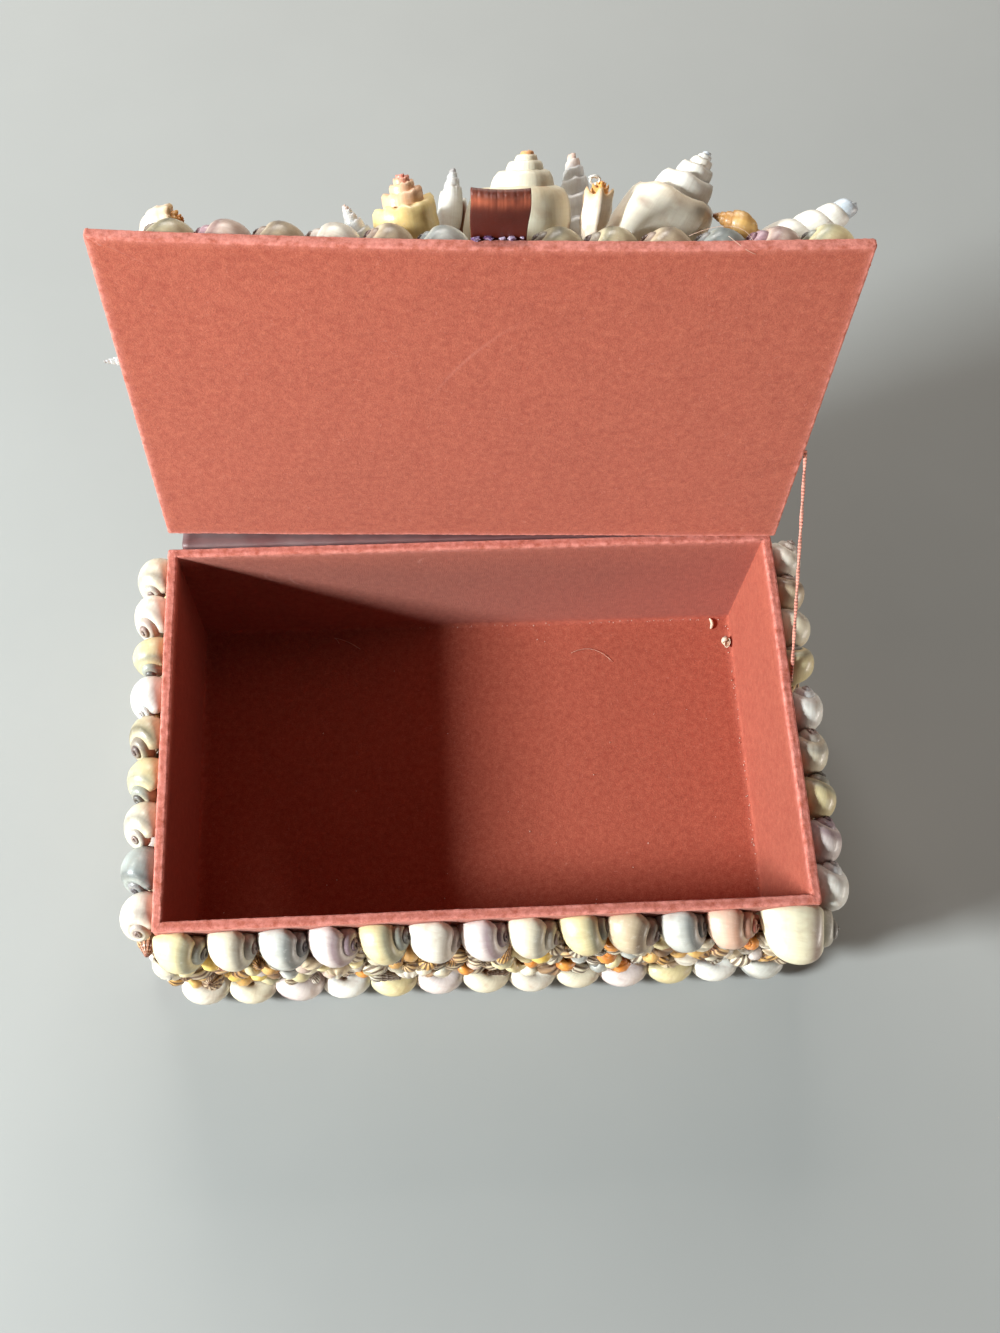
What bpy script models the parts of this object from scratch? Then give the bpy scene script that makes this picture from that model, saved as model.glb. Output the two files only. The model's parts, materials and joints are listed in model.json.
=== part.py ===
"""A shell box: a hinged card box lined with flocked paper and covered outside with sea shells.

Metres, +Z up. The origin is the middle of the box's underside, +X points to the right end
and +Y to the hinge side. The lid stands open, as far back as its stay cord lets it go.
Everything on the lid is modelled in the lid's own frame: the lid shut, the origin at the
middle of its hinge edge, on its underside, with the board reaching towards -Y.
"""
import math
import random
from typing import NamedTuple

import bmesh
import bpy
from mathutils import Matrix, Vector

# Card box
BOX_WIDTH = 0.200
BOX_DEPTH = 0.126
BOX_HEIGHT = 0.065
WALL = 0.003
FLOOR = 0.004
EDGE_ROUND = 0.0006
TOUCH_GAP = 0.0003

# Lid board
LID_SIDE_OVERHANG = 0.0005
LID_BACK_OVERHANG = 0.0005
LID_FRONT_OVERHANG = 0.0005
LID_WIDTH = BOX_WIDTH + 2 * LID_SIDE_OVERHANG
LID_DEPTH = BOX_DEPTH + LID_BACK_OVERHANG + LID_FRONT_OVERHANG
LID_THICKNESS = 0.003
LID_CURL = 0.0024
LID_STEPS_ACROSS = 8
LID_STEPS_ALONG = 3
LID_SHIFT = 0.0006
LID_SEAT_HEIGHT = 0.001

# Hinge: the glued strip gives at its left end, so the axis runs askew of the back wall
HINGE_BEHIND_WALL = 0.0009
HINGE_BELOW_LID = 0.00036
HINGE_SLEW = math.radians(-0.99)
HINGE_RISE = math.radians(0.88)
OPEN_ANGLE = math.radians(96.8)

# Hinge strip of ribbon
STRIP_THICKNESS = 0.0004
STRIP_END_INSET = 0.004
STRIP_ON_WALL = 0.0085
STRIP_ON_LID = 0.0045
STRIP_STATIONS = 7

# Rows of moon shells
ROW_DEPTH = 0.0118
ROW_SIZE_SPREAD = 0.10
ROW_FLATTENING = 0.38
SECTION_ANGLES = [math.radians(a) for a in (-118, -62, -20, 20, 62, 118)]
BODY_STATIONS = ((0.0, 0.50), (0.34, 1.0), (0.72, 0.88))
TOP_ROW_HEIGHT = 0.0155
TOP_ROW_BELOW_RIM = 0.0008
BACK_ROW_BELOW_RIM = 0.0105
FOOT_ROW_HEIGHT = 0.0148
FOOT_ROW_DEPTH = 0.0132
FOOT_CLEARANCE = 0.0004
FRONT_SHELL_PITCH = 0.0154
SIDE_SHELL_PITCH = 0.0140
CORNER_SHELL_WIDTH = 0.0215
CORNER_SHELL_DEPTH = 0.0165
CORNER_SHELL_HEIGHT = 0.0190
CORNER_SHELL_OVERLAP = 0.0138
CORNER_SHELL_SIDES = 10
CORNER_SHELL_RINGS = 7
CORD_SLIT = 0.0024

# Bands of small shells on the walls
BAND_DEPTH = 0.0046
BAND_BUMP = 0.0042
BAND_PITCH = 0.0132
LOWEST_CREST = 0.75

# Shells on the lid
LID_ROW_HEIGHT = 0.0112
LID_ROW_WIDTH = 0.0138
LID_ROW_INSET = 0.0010
LID_ROW_FROM_HINGE = 0.0065
LID_ROW_PITCH = 0.0142
FIELD_DEPTH = 0.0022
FIELD_BUMP = 0.0022
FIELD_PITCH = 0.0172

# Ribbon pull
PULL_X = 0.0035
PULL_WIDTH = 0.0140
PULL_BEYOND_EDGE = 0.0142
PULL_GLUED = 0.0120
PULL_LOOP = 0.0026
PULL_THICKNESS = 0.0006
PULL_ARC_STEPS = 6

# Stay cord
CORD_DIAMETER = 0.0012
CORD_LID_FROM_HINGE = 0.0425
CORD_LID_HEIGHT = 0.0022
CORD_WALL_Y = 0.0108
CORD_WALL_OUT = 0.0014
CORD_WALL_BELOW_RIM = 0.0052
CORD_POINTS = 17

RIM = BOX_HEIGHT
LID_TOP = LID_THICKNESS + TOUCH_GAP
FRONT_COUNT = round(BOX_WIDTH / FRONT_SHELL_PITCH)
SIDE_COUNT = round(BOX_DEPTH / SIDE_SHELL_PITCH)

# Colours of the pieces
FLOCK = (0.46, 0.16, 0.14)
SATIN = (0.20, 0.05, 0.05)
CREAM = (0.80, 0.72, 0.60)
IVORY = (0.78, 0.74, 0.66)
GREY_SHELL = (0.62, 0.60, 0.58)
HONEY = (0.72, 0.50, 0.24)
ORANGE_SHELL = (0.76, 0.42, 0.22)
BROWN_SHELL = (0.42, 0.27, 0.16)

COLLECTION = "shell_box"
CUTTERS = "shell_box_cutters"


def clear_scene():
    for thing in list(bpy.data.objects):
        bpy.data.objects.remove(thing, do_unlink=True)


def make_collection(name):
    collection = bpy.data.collections.new(name)
    bpy.context.scene.collection.children.link(collection)
    return collection


def material(name, colour, roughness, sheen=0.0):
    """A plain Principled material in the piece's own colour."""
    made = bpy.data.materials.new(name)
    made.use_nodes = True
    shader = made.node_tree.nodes["Principled BSDF"]
    shader.inputs["Base Color"].default_value = (*colour, 1.0)
    shader.inputs["Roughness"].default_value = roughness
    shader.inputs["Metallic"].default_value = 0.0
    shader.inputs["Sheen Weight"].default_value = sheen
    return made


def add_object(name, mesh, colour, roughness=0.6, sheen=0.0, smooth_angle=None):
    """Put a mesh in the part's collection under its own name and material."""
    thing = bpy.data.objects.new(name, mesh)
    bpy.data.collections[COLLECTION].objects.link(thing)
    mesh.materials.clear()
    mesh.materials.append(material(name, colour, roughness, sheen))
    if smooth_angle is not None:
        mesh.shade_smooth()
        mesh.set_sharp_from_angle(angle=smooth_angle)
    return thing


def mesh_from_bmesh(name, shape):
    bmesh.ops.recalc_face_normals(shape, faces=shape.faces)
    mesh = bpy.data.meshes.new(name)
    shape.to_mesh(mesh)
    shape.free()
    return mesh


def box_mesh(name, low, high):
    """A box between two corners."""
    shape = bmesh.new()
    bmesh.ops.create_cube(shape, size=1.0)
    low = Vector(low)
    high = Vector(high)
    size = high - low
    bmesh.ops.scale(shape, vec=size, verts=shape.verts)
    bmesh.ops.translate(shape, vec=(low + high) / 2, verts=shape.verts)
    return mesh_from_bmesh(name, shape)


def loft_mesh(name, rings):
    """A closed body through rings of equal numbers of points, capped at both ends."""
    shape = bmesh.new()
    loops = [[shape.verts.new(point) for point in ring] for ring in rings]
    sides = len(loops[0])
    for near, far in zip(loops, loops[1:]):
        for k in range(sides):
            after = (k + 1) % sides
            shape.faces.new((near[k], near[after], far[after], far[k]))
    shape.faces.new(loops[0][::-1])
    shape.faces.new(loops[-1])
    return mesh_from_bmesh(name, shape)


def hinge_frame():
    """The point and direction of the hinge axis."""
    point = Vector((LID_SHIFT, BOX_DEPTH / 2 + HINGE_BEHIND_WALL, RIM + LID_SEAT_HEIGHT - HINGE_BELOW_LID))
    direction = Vector((1.0, math.tan(HINGE_SLEW), math.tan(HINGE_RISE))).normalized()
    return point, direction


def lid_origin():
    """The lid frame's origin with the lid shut: the middle of the hinge edge, underneath."""
    return Vector((LID_SHIFT, BOX_DEPTH / 2 + LID_BACK_OVERHANG, RIM + LID_SEAT_HEIGHT))


def lid_to_world():
    """The lid frame's matrix with the lid open."""
    point, direction = hinge_frame()
    turn = Matrix.Rotation(-OPEN_ANGLE, 4, direction)
    return Matrix.Translation(point) @ turn @ Matrix.Translation(lid_origin() - point)


def make_hinge_empty():
    """The empty on the hinge axis that carries the lid, turned to the open position."""
    point, direction = hinge_frame()
    empty = bpy.data.objects.new("lid_hinge", None)
    bpy.data.collections[COLLECTION].objects.link(empty)
    empty.matrix_world = Matrix.Translation(point) @ Matrix.Rotation(-OPEN_ANGLE, 4, direction)
    return empty


def put_on_lid(thing, hinge):
    """Hang a piece modelled in the lid frame on the hinge."""
    point, _ = hinge_frame()
    thing.parent = hinge
    thing.location = lid_origin() - point


def curl(x, y):
    """How far the board has lifted at a place: more to the free corners, none at the hinge."""
    across = 2 * x / LID_WIDTH
    along = -y / LID_DEPTH
    return LID_CURL * across ** 2 * max(along, 0.0)


def follow_curl(mesh):
    for vertex in mesh.vertices:
        vertex.co.z += curl(vertex.co.x, vertex.co.y)


# Card box and lid board

def add_modifier(thing, kind, **settings):
    made = thing.modifiers.new(kind.lower(), kind)
    for key, value in settings.items():
        setattr(made, key, value)
    return made


def make_box_body():
    """The hollow card box: an outer block with its cavity cut out, all edges eased."""
    half_width = BOX_WIDTH / 2
    half_depth = BOX_DEPTH / 2
    block = box_mesh("box_body", (-half_width, -half_depth, 0), (half_width, half_depth, BOX_HEIGHT))
    body = add_object("box_body", block, FLOCK, 0.95, 0.6)
    inner_x = half_width - WALL
    inner_y = half_depth - WALL
    room = box_mesh("box_cavity", (-inner_x, -inner_y, FLOOR), (inner_x, inner_y, 2 * BOX_HEIGHT))
    cutter = bpy.data.objects.new("box_cavity", room)
    bpy.data.collections[CUTTERS].objects.link(cutter)
    cutter.hide_render = True
    cutter.display_type = "WIRE"
    add_modifier(body, "BOOLEAN", operation="DIFFERENCE", object=cutter, solver="EXACT")
    add_modifier(body, "BEVEL", width=EDGE_ROUND, segments=1, limit_method="ANGLE")
    return body


def make_lid_board(hinge):
    """The lid's card board: a sheet that curls at its free corners, thickened upwards."""
    shape = bmesh.new()
    bmesh.ops.create_grid(shape, x_segments=LID_STEPS_ACROSS, y_segments=LID_STEPS_ALONG, size=0.5)
    bmesh.ops.scale(shape, vec=(LID_WIDTH, LID_DEPTH, 1.0), verts=shape.verts)
    bmesh.ops.translate(shape, vec=(0, -LID_DEPTH / 2, 0), verts=shape.verts)
    mesh = bpy.data.meshes.new("lid_board")
    shape.to_mesh(mesh)
    shape.free()
    follow_curl(mesh)
    board = add_object("lid_board", mesh, FLOCK, 0.95, 0.6)
    add_modifier(board, "SOLIDIFY", thickness=LID_THICKNESS, offset=1.0)
    add_modifier(board, "BEVEL", width=EDGE_ROUND, segments=1, limit_method="ANGLE")
    put_on_lid(board, hinge)
    return board


def make_hinge_strip():
    """The ribbon hinge: up the back wall, out under the lid's edge and onto its outer face."""
    to_world = lid_to_world()
    half = STRIP_THICKNESS / 2
    wall_y = BOX_DEPTH / 2 + TOUCH_GAP + half
    under = TOUCH_GAP + half
    width = BOX_WIDTH - 2 * STRIP_END_INSET
    shape = bmesh.new()
    lines = []
    for k in range(STRIP_STATIONS):
        x = width * (k / (STRIP_STATIONS - 1) - 0.5)
        corner = to_world @ Vector((x, under + TOUCH_GAP, LID_THICKNESS + under))
        upper = to_world @ Vector((x, -STRIP_ON_LID, LID_THICKNESS + under))
        wall_low = Vector((corner.x, wall_y, RIM - STRIP_ON_WALL))
        wall_top = Vector((corner.x, wall_y, RIM - STRIP_THICKNESS))
        lines.append([shape.verts.new(p) for p in (wall_low, wall_top, corner, upper)])
    for left, right in zip(lines, lines[1:]):
        for k in range(len(left) - 1):
            shape.faces.new((left[k], right[k], right[k + 1], left[k + 1]))
    mesh = bpy.data.meshes.new("hinge_strip")
    shape.to_mesh(mesh)
    shape.free()
    strip = add_object("hinge_strip", mesh, SATIN, 0.4)
    add_modifier(strip, "SOLIDIFY", thickness=STRIP_THICKNESS, offset=0.0)
    return strip


def make_ribbon_pull(hinge):
    """The pull: a ribbon glued to the lid's face, folded back on itself beyond the free edge."""
    low = LID_TOP + PULL_THICKNESS / 2
    high = low + PULL_LOOP
    fold_y = -(LID_DEPTH + PULL_BEYOND_EDGE - PULL_LOOP / 2)
    glued_y = -(LID_DEPTH - PULL_GLUED)
    route = [(glued_y, low), (-LID_DEPTH, low)]
    for k in range(PULL_ARC_STEPS + 1):
        turn = math.pi * k / PULL_ARC_STEPS
        route.append((fold_y - PULL_LOOP / 2 * math.sin(turn), low + PULL_LOOP / 2 * (1 - math.cos(turn))))
    route += [(-LID_DEPTH, high), (glued_y, high)]
    shape = bmesh.new()
    left = [shape.verts.new((PULL_X - PULL_WIDTH / 2, y, z)) for y, z in route]
    right = [shape.verts.new((PULL_X + PULL_WIDTH / 2, y, z)) for y, z in route]
    for k in range(len(route) - 1):
        shape.faces.new((left[k], right[k], right[k + 1], left[k + 1]))
    mesh = bpy.data.meshes.new("ribbon_pull")
    shape.to_mesh(mesh)
    shape.free()
    pull = add_object("ribbon_pull", mesh, SATIN, 0.35)
    add_modifier(pull, "SOLIDIFY", thickness=PULL_THICKNESS, offset=0.0)
    put_on_lid(pull, hinge)
    return pull


def make_stay_cord():
    """The cord that holds the lid back, straight from the lid's edge to the top of the wall."""
    radius = CORD_DIAMETER / 2
    lid_x = LID_WIDTH / 2 + TOUCH_GAP + radius
    high = lid_to_world() @ Vector((lid_x, -CORD_LID_FROM_HINGE, CORD_LID_HEIGHT))
    wall_x = BOX_WIDTH / 2 + CORD_WALL_OUT
    low = Vector((wall_x, CORD_WALL_Y, RIM - CORD_WALL_BELOW_RIM))
    curve = bpy.data.curves.new("stay_cord", "CURVE")
    curve.dimensions = "3D"
    curve.bevel_depth = radius
    curve.bevel_resolution = 2
    curve.use_fill_caps = True
    spline = curve.splines.new("POLY")
    spline.points.add(CORD_POINTS - 1)
    for k, point in enumerate(spline.points):
        point.co = (*high.lerp(low, k / (CORD_POINTS - 1)), 1.0)
    curve.materials.append(material("stay_cord", FLOCK, 0.7))
    cord = bpy.data.objects.new("stay_cord", curve)
    bpy.data.collections[COLLECTION].objects.link(cord)
    return cord


# Rows of moon shells

def row_ring(x, depth, height, scale):
    """A section of the row: flat on the surface that it is glued to, rounded outside."""
    ring = []
    for angle in SECTION_ANGLES:
        out = max(ROW_FLATTENING + (1 - ROW_FLATTENING) * math.cos(angle), 0.0)
        ring.append((x, depth * scale * out, height / 2 * scale * math.sin(angle)))
    return ring


def row_rings(length, count, depth, height, seed):
    """Sections along a row: each shell swells to its body whorl and falls to its spire."""
    rng = random.Random(seed)
    pitch = length / count
    rings = []
    for k in range(count):
        size = 1.0 - rng.uniform(0.0, ROW_SIZE_SPREAD)
        start = -length / 2 + k * pitch
        for share, scale in BODY_STATIONS:
            rings.append(row_ring(start + share * pitch, depth, height, scale * size))
    rings.append(row_ring(length / 2, depth, height, BODY_STATIONS[0][1]))
    return rings


def shell_row(name, length, count, depth, height, seed, place, colour, curled=False):
    """A row of moon shells glued side by side. Its own frame has x along the row and y outwards."""
    mesh = loft_mesh(name, row_rings(length, count, depth, height, seed))
    mesh.transform(place)
    if curled:
        follow_curl(mesh)
    return add_object(name, mesh, colour, 0.35)


def wall_place(side, centre, z):
    """From a row's own frame to a wall: x along the wall and y out of it."""
    turns = {"back": 0.0, "right": -math.pi / 2, "left": math.pi / 2, "front": math.pi}
    offsets = {
        "back": (centre, BOX_DEPTH / 2 + TOUCH_GAP),
        "front": (centre, -BOX_DEPTH / 2 - TOUCH_GAP),
        "right": (BOX_WIDTH / 2 + TOUCH_GAP, centre),
        "left": (-BOX_WIDTH / 2 - TOUCH_GAP, centre),
    }
    return Matrix.Translation((*offsets[side], z)) @ Matrix.Rotation(turns[side], 4, "Z")


def front_row_span():
    """The front top row's ends: the left corner, and where the large corner shell begins."""
    return -BOX_WIDTH / 2, BOX_WIDTH / 2 - CORNER_SHELL_OVERLAP - TOUCH_GAP


def make_top_rows():
    z = RIM - TOP_ROW_BELOW_RIM - TOP_ROW_HEIGHT / 2
    start, end = front_row_span()
    shell_row("front_top_row", end - start, FRONT_COUNT - 1, ROW_DEPTH, TOP_ROW_HEIGHT, 1,
              wall_place("front", (start + end) / 2, z), CREAM)
    shell_row("left_top_row", BOX_DEPTH, SIDE_COUNT, ROW_DEPTH, TOP_ROW_HEIGHT, 2,
              wall_place("left", 0.0, z), IVORY)
    back_low = CORD_WALL_Y + CORD_SLIT / 2
    front_high = CORD_WALL_Y - CORD_SLIT / 2
    back_length = BOX_DEPTH / 2 - back_low
    front_length = front_high + BOX_DEPTH / 2
    back_count = round(SIDE_COUNT * back_length / BOX_DEPTH)
    shell_row("right_top_row_back", back_length, back_count, ROW_DEPTH, TOP_ROW_HEIGHT, 3,
              wall_place("right", back_low + back_length / 2, z), GREY_SHELL)
    shell_row("right_top_row_front", front_length, SIDE_COUNT - back_count, ROW_DEPTH, TOP_ROW_HEIGHT, 4,
              wall_place("right", front_high - front_length / 2, z), GREY_SHELL)
    back_z = RIM - BACK_ROW_BELOW_RIM - TOP_ROW_HEIGHT / 2
    shell_row("back_top_row", BOX_WIDTH, FRONT_COUNT, ROW_DEPTH, TOP_ROW_HEIGHT, 5,
              wall_place("back", 0.0, back_z), GREY_SHELL)


def make_foot_rows():
    z = FOOT_CLEARANCE + FOOT_ROW_HEIGHT / 2
    for seed, side in enumerate(("front", "left", "right", "back")):
        along = BOX_WIDTH if side in ("front", "back") else BOX_DEPTH
        count = FRONT_COUNT if side in ("front", "back") else SIDE_COUNT
        shell_row(side + "_foot_row", along, count, FOOT_ROW_DEPTH, FOOT_ROW_HEIGHT, 11 + seed,
                  wall_place(side, 0.0, z), CREAM)


def make_corner_shell():
    """The larger moon shell that sits across the front right corner, under the rim."""
    shape = bmesh.new()
    bmesh.ops.create_uvsphere(shape, u_segments=CORNER_SHELL_SIDES, v_segments=CORNER_SHELL_RINGS,
                              radius=0.5)
    size = (CORNER_SHELL_WIDTH, CORNER_SHELL_DEPTH, CORNER_SHELL_HEIGHT)
    bmesh.ops.scale(shape, vec=size, verts=shape.verts)
    mesh = mesh_from_bmesh("front_corner_shell", shape)
    shell = add_object("front_corner_shell", mesh, CREAM, 0.35, smooth_angle=math.radians(50))
    x = BOX_WIDTH / 2 - CORNER_SHELL_OVERLAP + CORNER_SHELL_WIDTH / 2
    y = -BOX_DEPTH / 2 - TOUCH_GAP - CORNER_SHELL_DEPTH / 2
    shell.location = (x, y, RIM - TOP_ROW_BELOW_RIM - CORNER_SHELL_HEIGHT / 2)
    return shell


# Fields of small shells

def bumpy_mesh(name, width, height, depth, bump, pitch, seed, notch=(0.0, 0.0)):
    """A pad of small shells: a flat back in the plane y = 0 and a bumpy face towards +Y.

    Each bump is one vertex of the grid pushed out, with the vertices around it left low.
    A notch, its length and its height, lowers the pad's upper edge at its -X end.
    """
    rng = random.Random(seed)
    cells_x = 2 * max(round(width / pitch), 1)
    cells_z = 2 * max(round(height / pitch), 1)
    shape = bmesh.new()
    bmesh.ops.create_grid(shape, x_segments=cells_x, y_segments=cells_z, size=0.5)
    step_x = width / cells_x
    for vertex in shape.verts:
        column = round((vertex.co.x + 0.5) * cells_x)
        row = round((vertex.co.y + 0.5) * cells_z)
        shift = step_x * 0.5 if row % 4 == 3 and 0 < column < cells_x - 1 else 0.0
        crest = column % 2 == 1 and row % 2 == 1
        out = depth + (bump * rng.uniform(LOWEST_CREST, 1.0) if crest else 0.0)
        x = vertex.co.x * width + shift
        kept = 1.0 - notch[1] / height if x < notch[0] - width / 2 else 1.0
        vertex.co = (x, out, ((vertex.co.y + 0.5) * kept - 0.5) * height)
    edge = [e for e in shape.edges if e.is_boundary]
    grown = bmesh.ops.extrude_edge_only(shape, edges=edge)["geom"]
    for vertex in (g for g in grown if isinstance(g, bmesh.types.BMVert)):
        vertex.co.y = 0.0
    back = [e for e in shape.edges if e.is_boundary]
    bmesh.ops.edgeloop_fill(shape, edges=back)
    return mesh_from_bmesh(name, shape)


def make_wall_bands():
    low = FOOT_CLEARANCE + FOOT_ROW_HEIGHT + TOUCH_GAP
    for seed, side in enumerate(("front", "left", "right", "back")):
        below = BACK_ROW_BELOW_RIM if side == "back" else TOP_ROW_BELOW_RIM
        high = RIM - below - TOP_ROW_HEIGHT - TOUCH_GAP
        notch = (CORNER_SHELL_OVERLAP + BAND_PITCH, CORNER_SHELL_HEIGHT - TOP_ROW_HEIGHT)
        along = BOX_WIDTH if side in ("front", "back") else BOX_DEPTH
        name = side + "_small_shells"
        mesh = bumpy_mesh(name, along, high - low, BAND_DEPTH, BAND_BUMP, BAND_PITCH, 21 + seed,
                          notch if side == "front" else (0.0, 0.0))
        mesh.transform(wall_place(side, 0.0, (low + high) / 2))
        add_object(name, mesh, HONEY, 0.4)


def lid_place(x, y, turn):
    """From a row's own frame to the lid's face: y outwards becomes up, x turned in the face."""
    upright = Matrix.Rotation(math.pi / 2, 4, "X")
    return Matrix.Translation((x, y, LID_TOP)) @ Matrix.Rotation(turn, 4, "Z") @ upright


def make_lid_rows(hinge):
    edge_x = LID_WIDTH / 2 - LID_ROW_INSET
    front_y = -(LID_DEPTH - LID_ROW_INSET)
    row_y = front_y + LID_ROW_WIDTH / 2
    pull_left = PULL_X - PULL_WIDTH / 2 - TOUCH_GAP
    pull_right = PULL_X + PULL_WIDTH / 2 + TOUCH_GAP
    side_low = front_y + LID_ROW_WIDTH + TOUCH_GAP
    side_high = -LID_ROW_FROM_HINGE
    side_y = (side_low + side_high) / 2
    side_x = edge_x - LID_ROW_WIDTH / 2
    back_end = edge_x - LID_ROW_WIDTH - TOUCH_GAP
    back_y = side_high - LID_ROW_WIDTH / 2
    spans = (
        ("lid_front_row_left", (-edge_x + pull_left) / 2, row_y, pull_left + edge_x, 0.0),
        ("lid_front_row_right", (pull_right + edge_x) / 2, row_y, edge_x - pull_right, 0.0),
        ("lid_left_row", -side_x, side_y, side_high - side_low, math.pi / 2),
        ("lid_right_row", side_x, side_y, side_high - side_low, math.pi / 2),
        ("lid_back_row", 0.0, back_y, 2 * back_end, 0.0),
    )
    for seed, (name, x, y, length, turn) in enumerate(spans):
        count = round(length / LID_ROW_PITCH)
        row = shell_row(name, length, count, LID_ROW_HEIGHT, LID_ROW_WIDTH, 31 + seed,
                        lid_place(x, y, turn), IVORY, curled=True)
        put_on_lid(row, hinge)


def make_lid_field(hinge):
    """The small shells that cover the lid inside its rows."""
    clear = LID_ROW_INSET + LID_ROW_WIDTH + 2 * TOUCH_GAP
    half_width = LID_WIDTH / 2 - clear
    low = -(LID_DEPTH - clear)
    high = -(LID_ROW_FROM_HINGE + LID_ROW_WIDTH + 2 * TOUCH_GAP)
    mesh = bumpy_mesh("lid_small_shells", 2 * half_width, high - low, FIELD_DEPTH, FIELD_BUMP,
                      FIELD_PITCH, 41)
    mesh.transform(lid_place(0.0, (low + high) / 2, 0.0))
    follow_curl(mesh)
    field = add_object("lid_small_shells", mesh, HONEY, 0.4)
    put_on_lid(field, hinge)


# Large shells on the lid

class LargeShell(NamedTuple):
    """A spiral shell on the lid, in millimetres.

    x runs from the middle of the lid, or from an end where from_end is -1 or 1; edge is the
    distance in from the free edge, and up is the height over the shells that it lies on.
    """
    name: str
    colour: tuple
    radius: float
    whorls: int
    widest: float
    apex: tuple
    foot: tuple
    from_end: int = 0
    over_row: bool = True


LARGE_SHELLS = (
    LargeShell("orange_whelk", ORANGE_SHELL, 8.6, 4, 0.60, (-21.7, 5.0, 17.5), (-17.6, 29.0, -1.0)),
    LargeShell("white_spindle", IVORY, 4.0, 4, 0.62, (-7.7, 20.0, 37.0), (-8.6, 33.5, -4.9)),
    LargeShell("cream_whelk", CREAM, 14.0, 4, 0.60, (12.5, 6.0, 28.5), (8.8, 39.0, -1.9)),
    LargeShell("grey_spire", GREY_SHELL, 5.2, 5, 0.76, (26.0, 17.0, 40.0), (29.6, 44.0, -3.9)),
    LargeShell("spiny_shell", ORANGE_SHELL, 5.2, 3, 0.55, (32.2, 7.5, 18.5), (29.2, 19.5, 2.0)),
    LargeShell("white_whelk", IVORY, 11.8, 5, 0.58, (61.5, 5.0, 27.5), (36.0, 35.0, -2.0)),
    LargeShell("brown_turret", BROWN_SHELL, 3.1, 5, 0.72, (-38.1, 12.5, 11.7), (-24.3, 12.0, 4.7), 1),
    LargeShell("long_spire", GREY_SHELL, 6.4, 6, 0.66, (1.1, 10.0, 14.9), (-33.0, 28.0, 0.3), 1),
    LargeShell("small_spire", GREY_SHELL, 3.2, 4, 0.66, (-37.2, 13.0, 14.1), (-29.8, 22.5, 2.5)),
    LargeShell("knobbly_shell", HONEY, 4.2, 3, 0.55, (21.5, 12.0, 6.7), (10.5, 15.0, 6.5), -1),
    LargeShell("edge_spire", GREY_SHELL, 3.0, 5, 0.66, (-9.0, 61.0, 0.9), (13.0, 65.5, 6.3), -1),
    LargeShell("left_crown_whelk", CREAM, 10.6, 4, 0.60, (28.5, 45.0, 12.8), (62.5, 55.0, 12.8), -1, False),
    LargeShell("middle_crown_whelk", IVORY, 12.0, 4, 0.58, (-14.0, 74.0, 14.8), (24.0, 61.0, 13.8), 0, False),
    LargeShell("right_crown_whelk", CREAM, 9.2, 4, 0.60, (-26.5, 65.0, 10.8), (-58.5, 55.0, 10.8), 1, False),
    LargeShell("left_back_spire", GREY_SHELL, 5.6, 5, 0.68, (38.5, 95.0, 6.5), (78.5, 92.0, 6.9), -1, False),
    LargeShell("right_back_spire", ORANGE_SHELL, 5.6, 5, 0.68, (-34.5, 93.0, 6.5), (-74.5, 91.0, 6.9), 1,
               False),
)
MILLI = 0.001
TURNED_SIDES = 8

# Their profile: where the first suture lies, how fast whorls lengthen, and the whorls' bulge
FIRST_SUTURE = 0.04
WHORL_GROWTH = 1.15
APEX_RADIUS = 0.06
WHORL_STATIONS = ((0.55, 1.0), (1.0, 0.86))
CANAL_STATIONS = (0.45, 0.8, 1.0)
CANAL_RADIUS = 0.20


def shell_profile(length, radius, whorls, widest):
    """Radius down a spiral shell, apex first: stepped whorls to the body, then its canal.

    Up to the widest place the radius grows in a straight line and each whorl bulges between
    its sutures; below, it falls in a quarter cosine to the canal.
    """
    points = [(0.0, 0.0)]
    for k in range(whorls):
        for share, bulge in WHORL_STATIONS:
            along = (k + share) / whorls
            at = widest * (FIRST_SUTURE + (1 - FIRST_SUTURE) * along ** WHORL_GROWTH)
            last = k == whorls - 1 and share == 1.0
            grown = APEX_RADIUS + (1 - APEX_RADIUS) * along
            points.append((radius * grown * (1.0 if last else bulge), at * length))
    for share in CANAL_STATIONS:
        fall = CANAL_RADIUS + (1 - CANAL_RADIUS) * math.cos(share * math.pi / 2)
        points.append((radius * fall, length * (widest + (1 - widest) * share)))
    points.append((0.0, length))
    return points


def place_on_lid(shell, spot):
    """A large shell's point in the lid frame."""
    x = spot[0] * MILLI + shell.from_end * LID_WIDTH / 2
    rest = LID_ROW_HEIGHT if shell.over_row else FIELD_DEPTH + FIELD_BUMP
    return Vector((x, spot[1] * MILLI - LID_DEPTH, spot[2] * MILLI + LID_TOP + rest))


def turned_shell(shell, hinge):
    """A large spiral shell: its profile turned about the line from apex to foot."""
    top = place_on_lid(shell, shell.apex)
    bottom = place_on_lid(shell, shell.foot)
    length = (bottom - top).length
    shape = bmesh.new()
    profile = shell_profile(length, shell.radius * MILLI, shell.whorls, shell.widest)
    chain = [shape.verts.new((r, 0.0, -down)) for r, down in profile]
    for above, below in zip(chain, chain[1:]):
        shape.edges.new((above, below))
    mesh = bpy.data.meshes.new(shell.name)
    shape.to_mesh(mesh)
    shape.free()
    turned = add_object(shell.name, mesh, shell.colour, 0.4)
    add_modifier(turned, "SCREW", steps=TURNED_SIDES, render_steps=TURNED_SIDES, angle=2 * math.pi,
                 use_merge_vertices=True, merge_threshold=0.00001)
    point, _ = hinge_frame()
    aim = (top - bottom).to_track_quat("Z", "Y").to_matrix().to_4x4()
    turned.parent = hinge
    turned.matrix_local = Matrix.Translation(lid_origin() - point + top) @ aim


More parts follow.
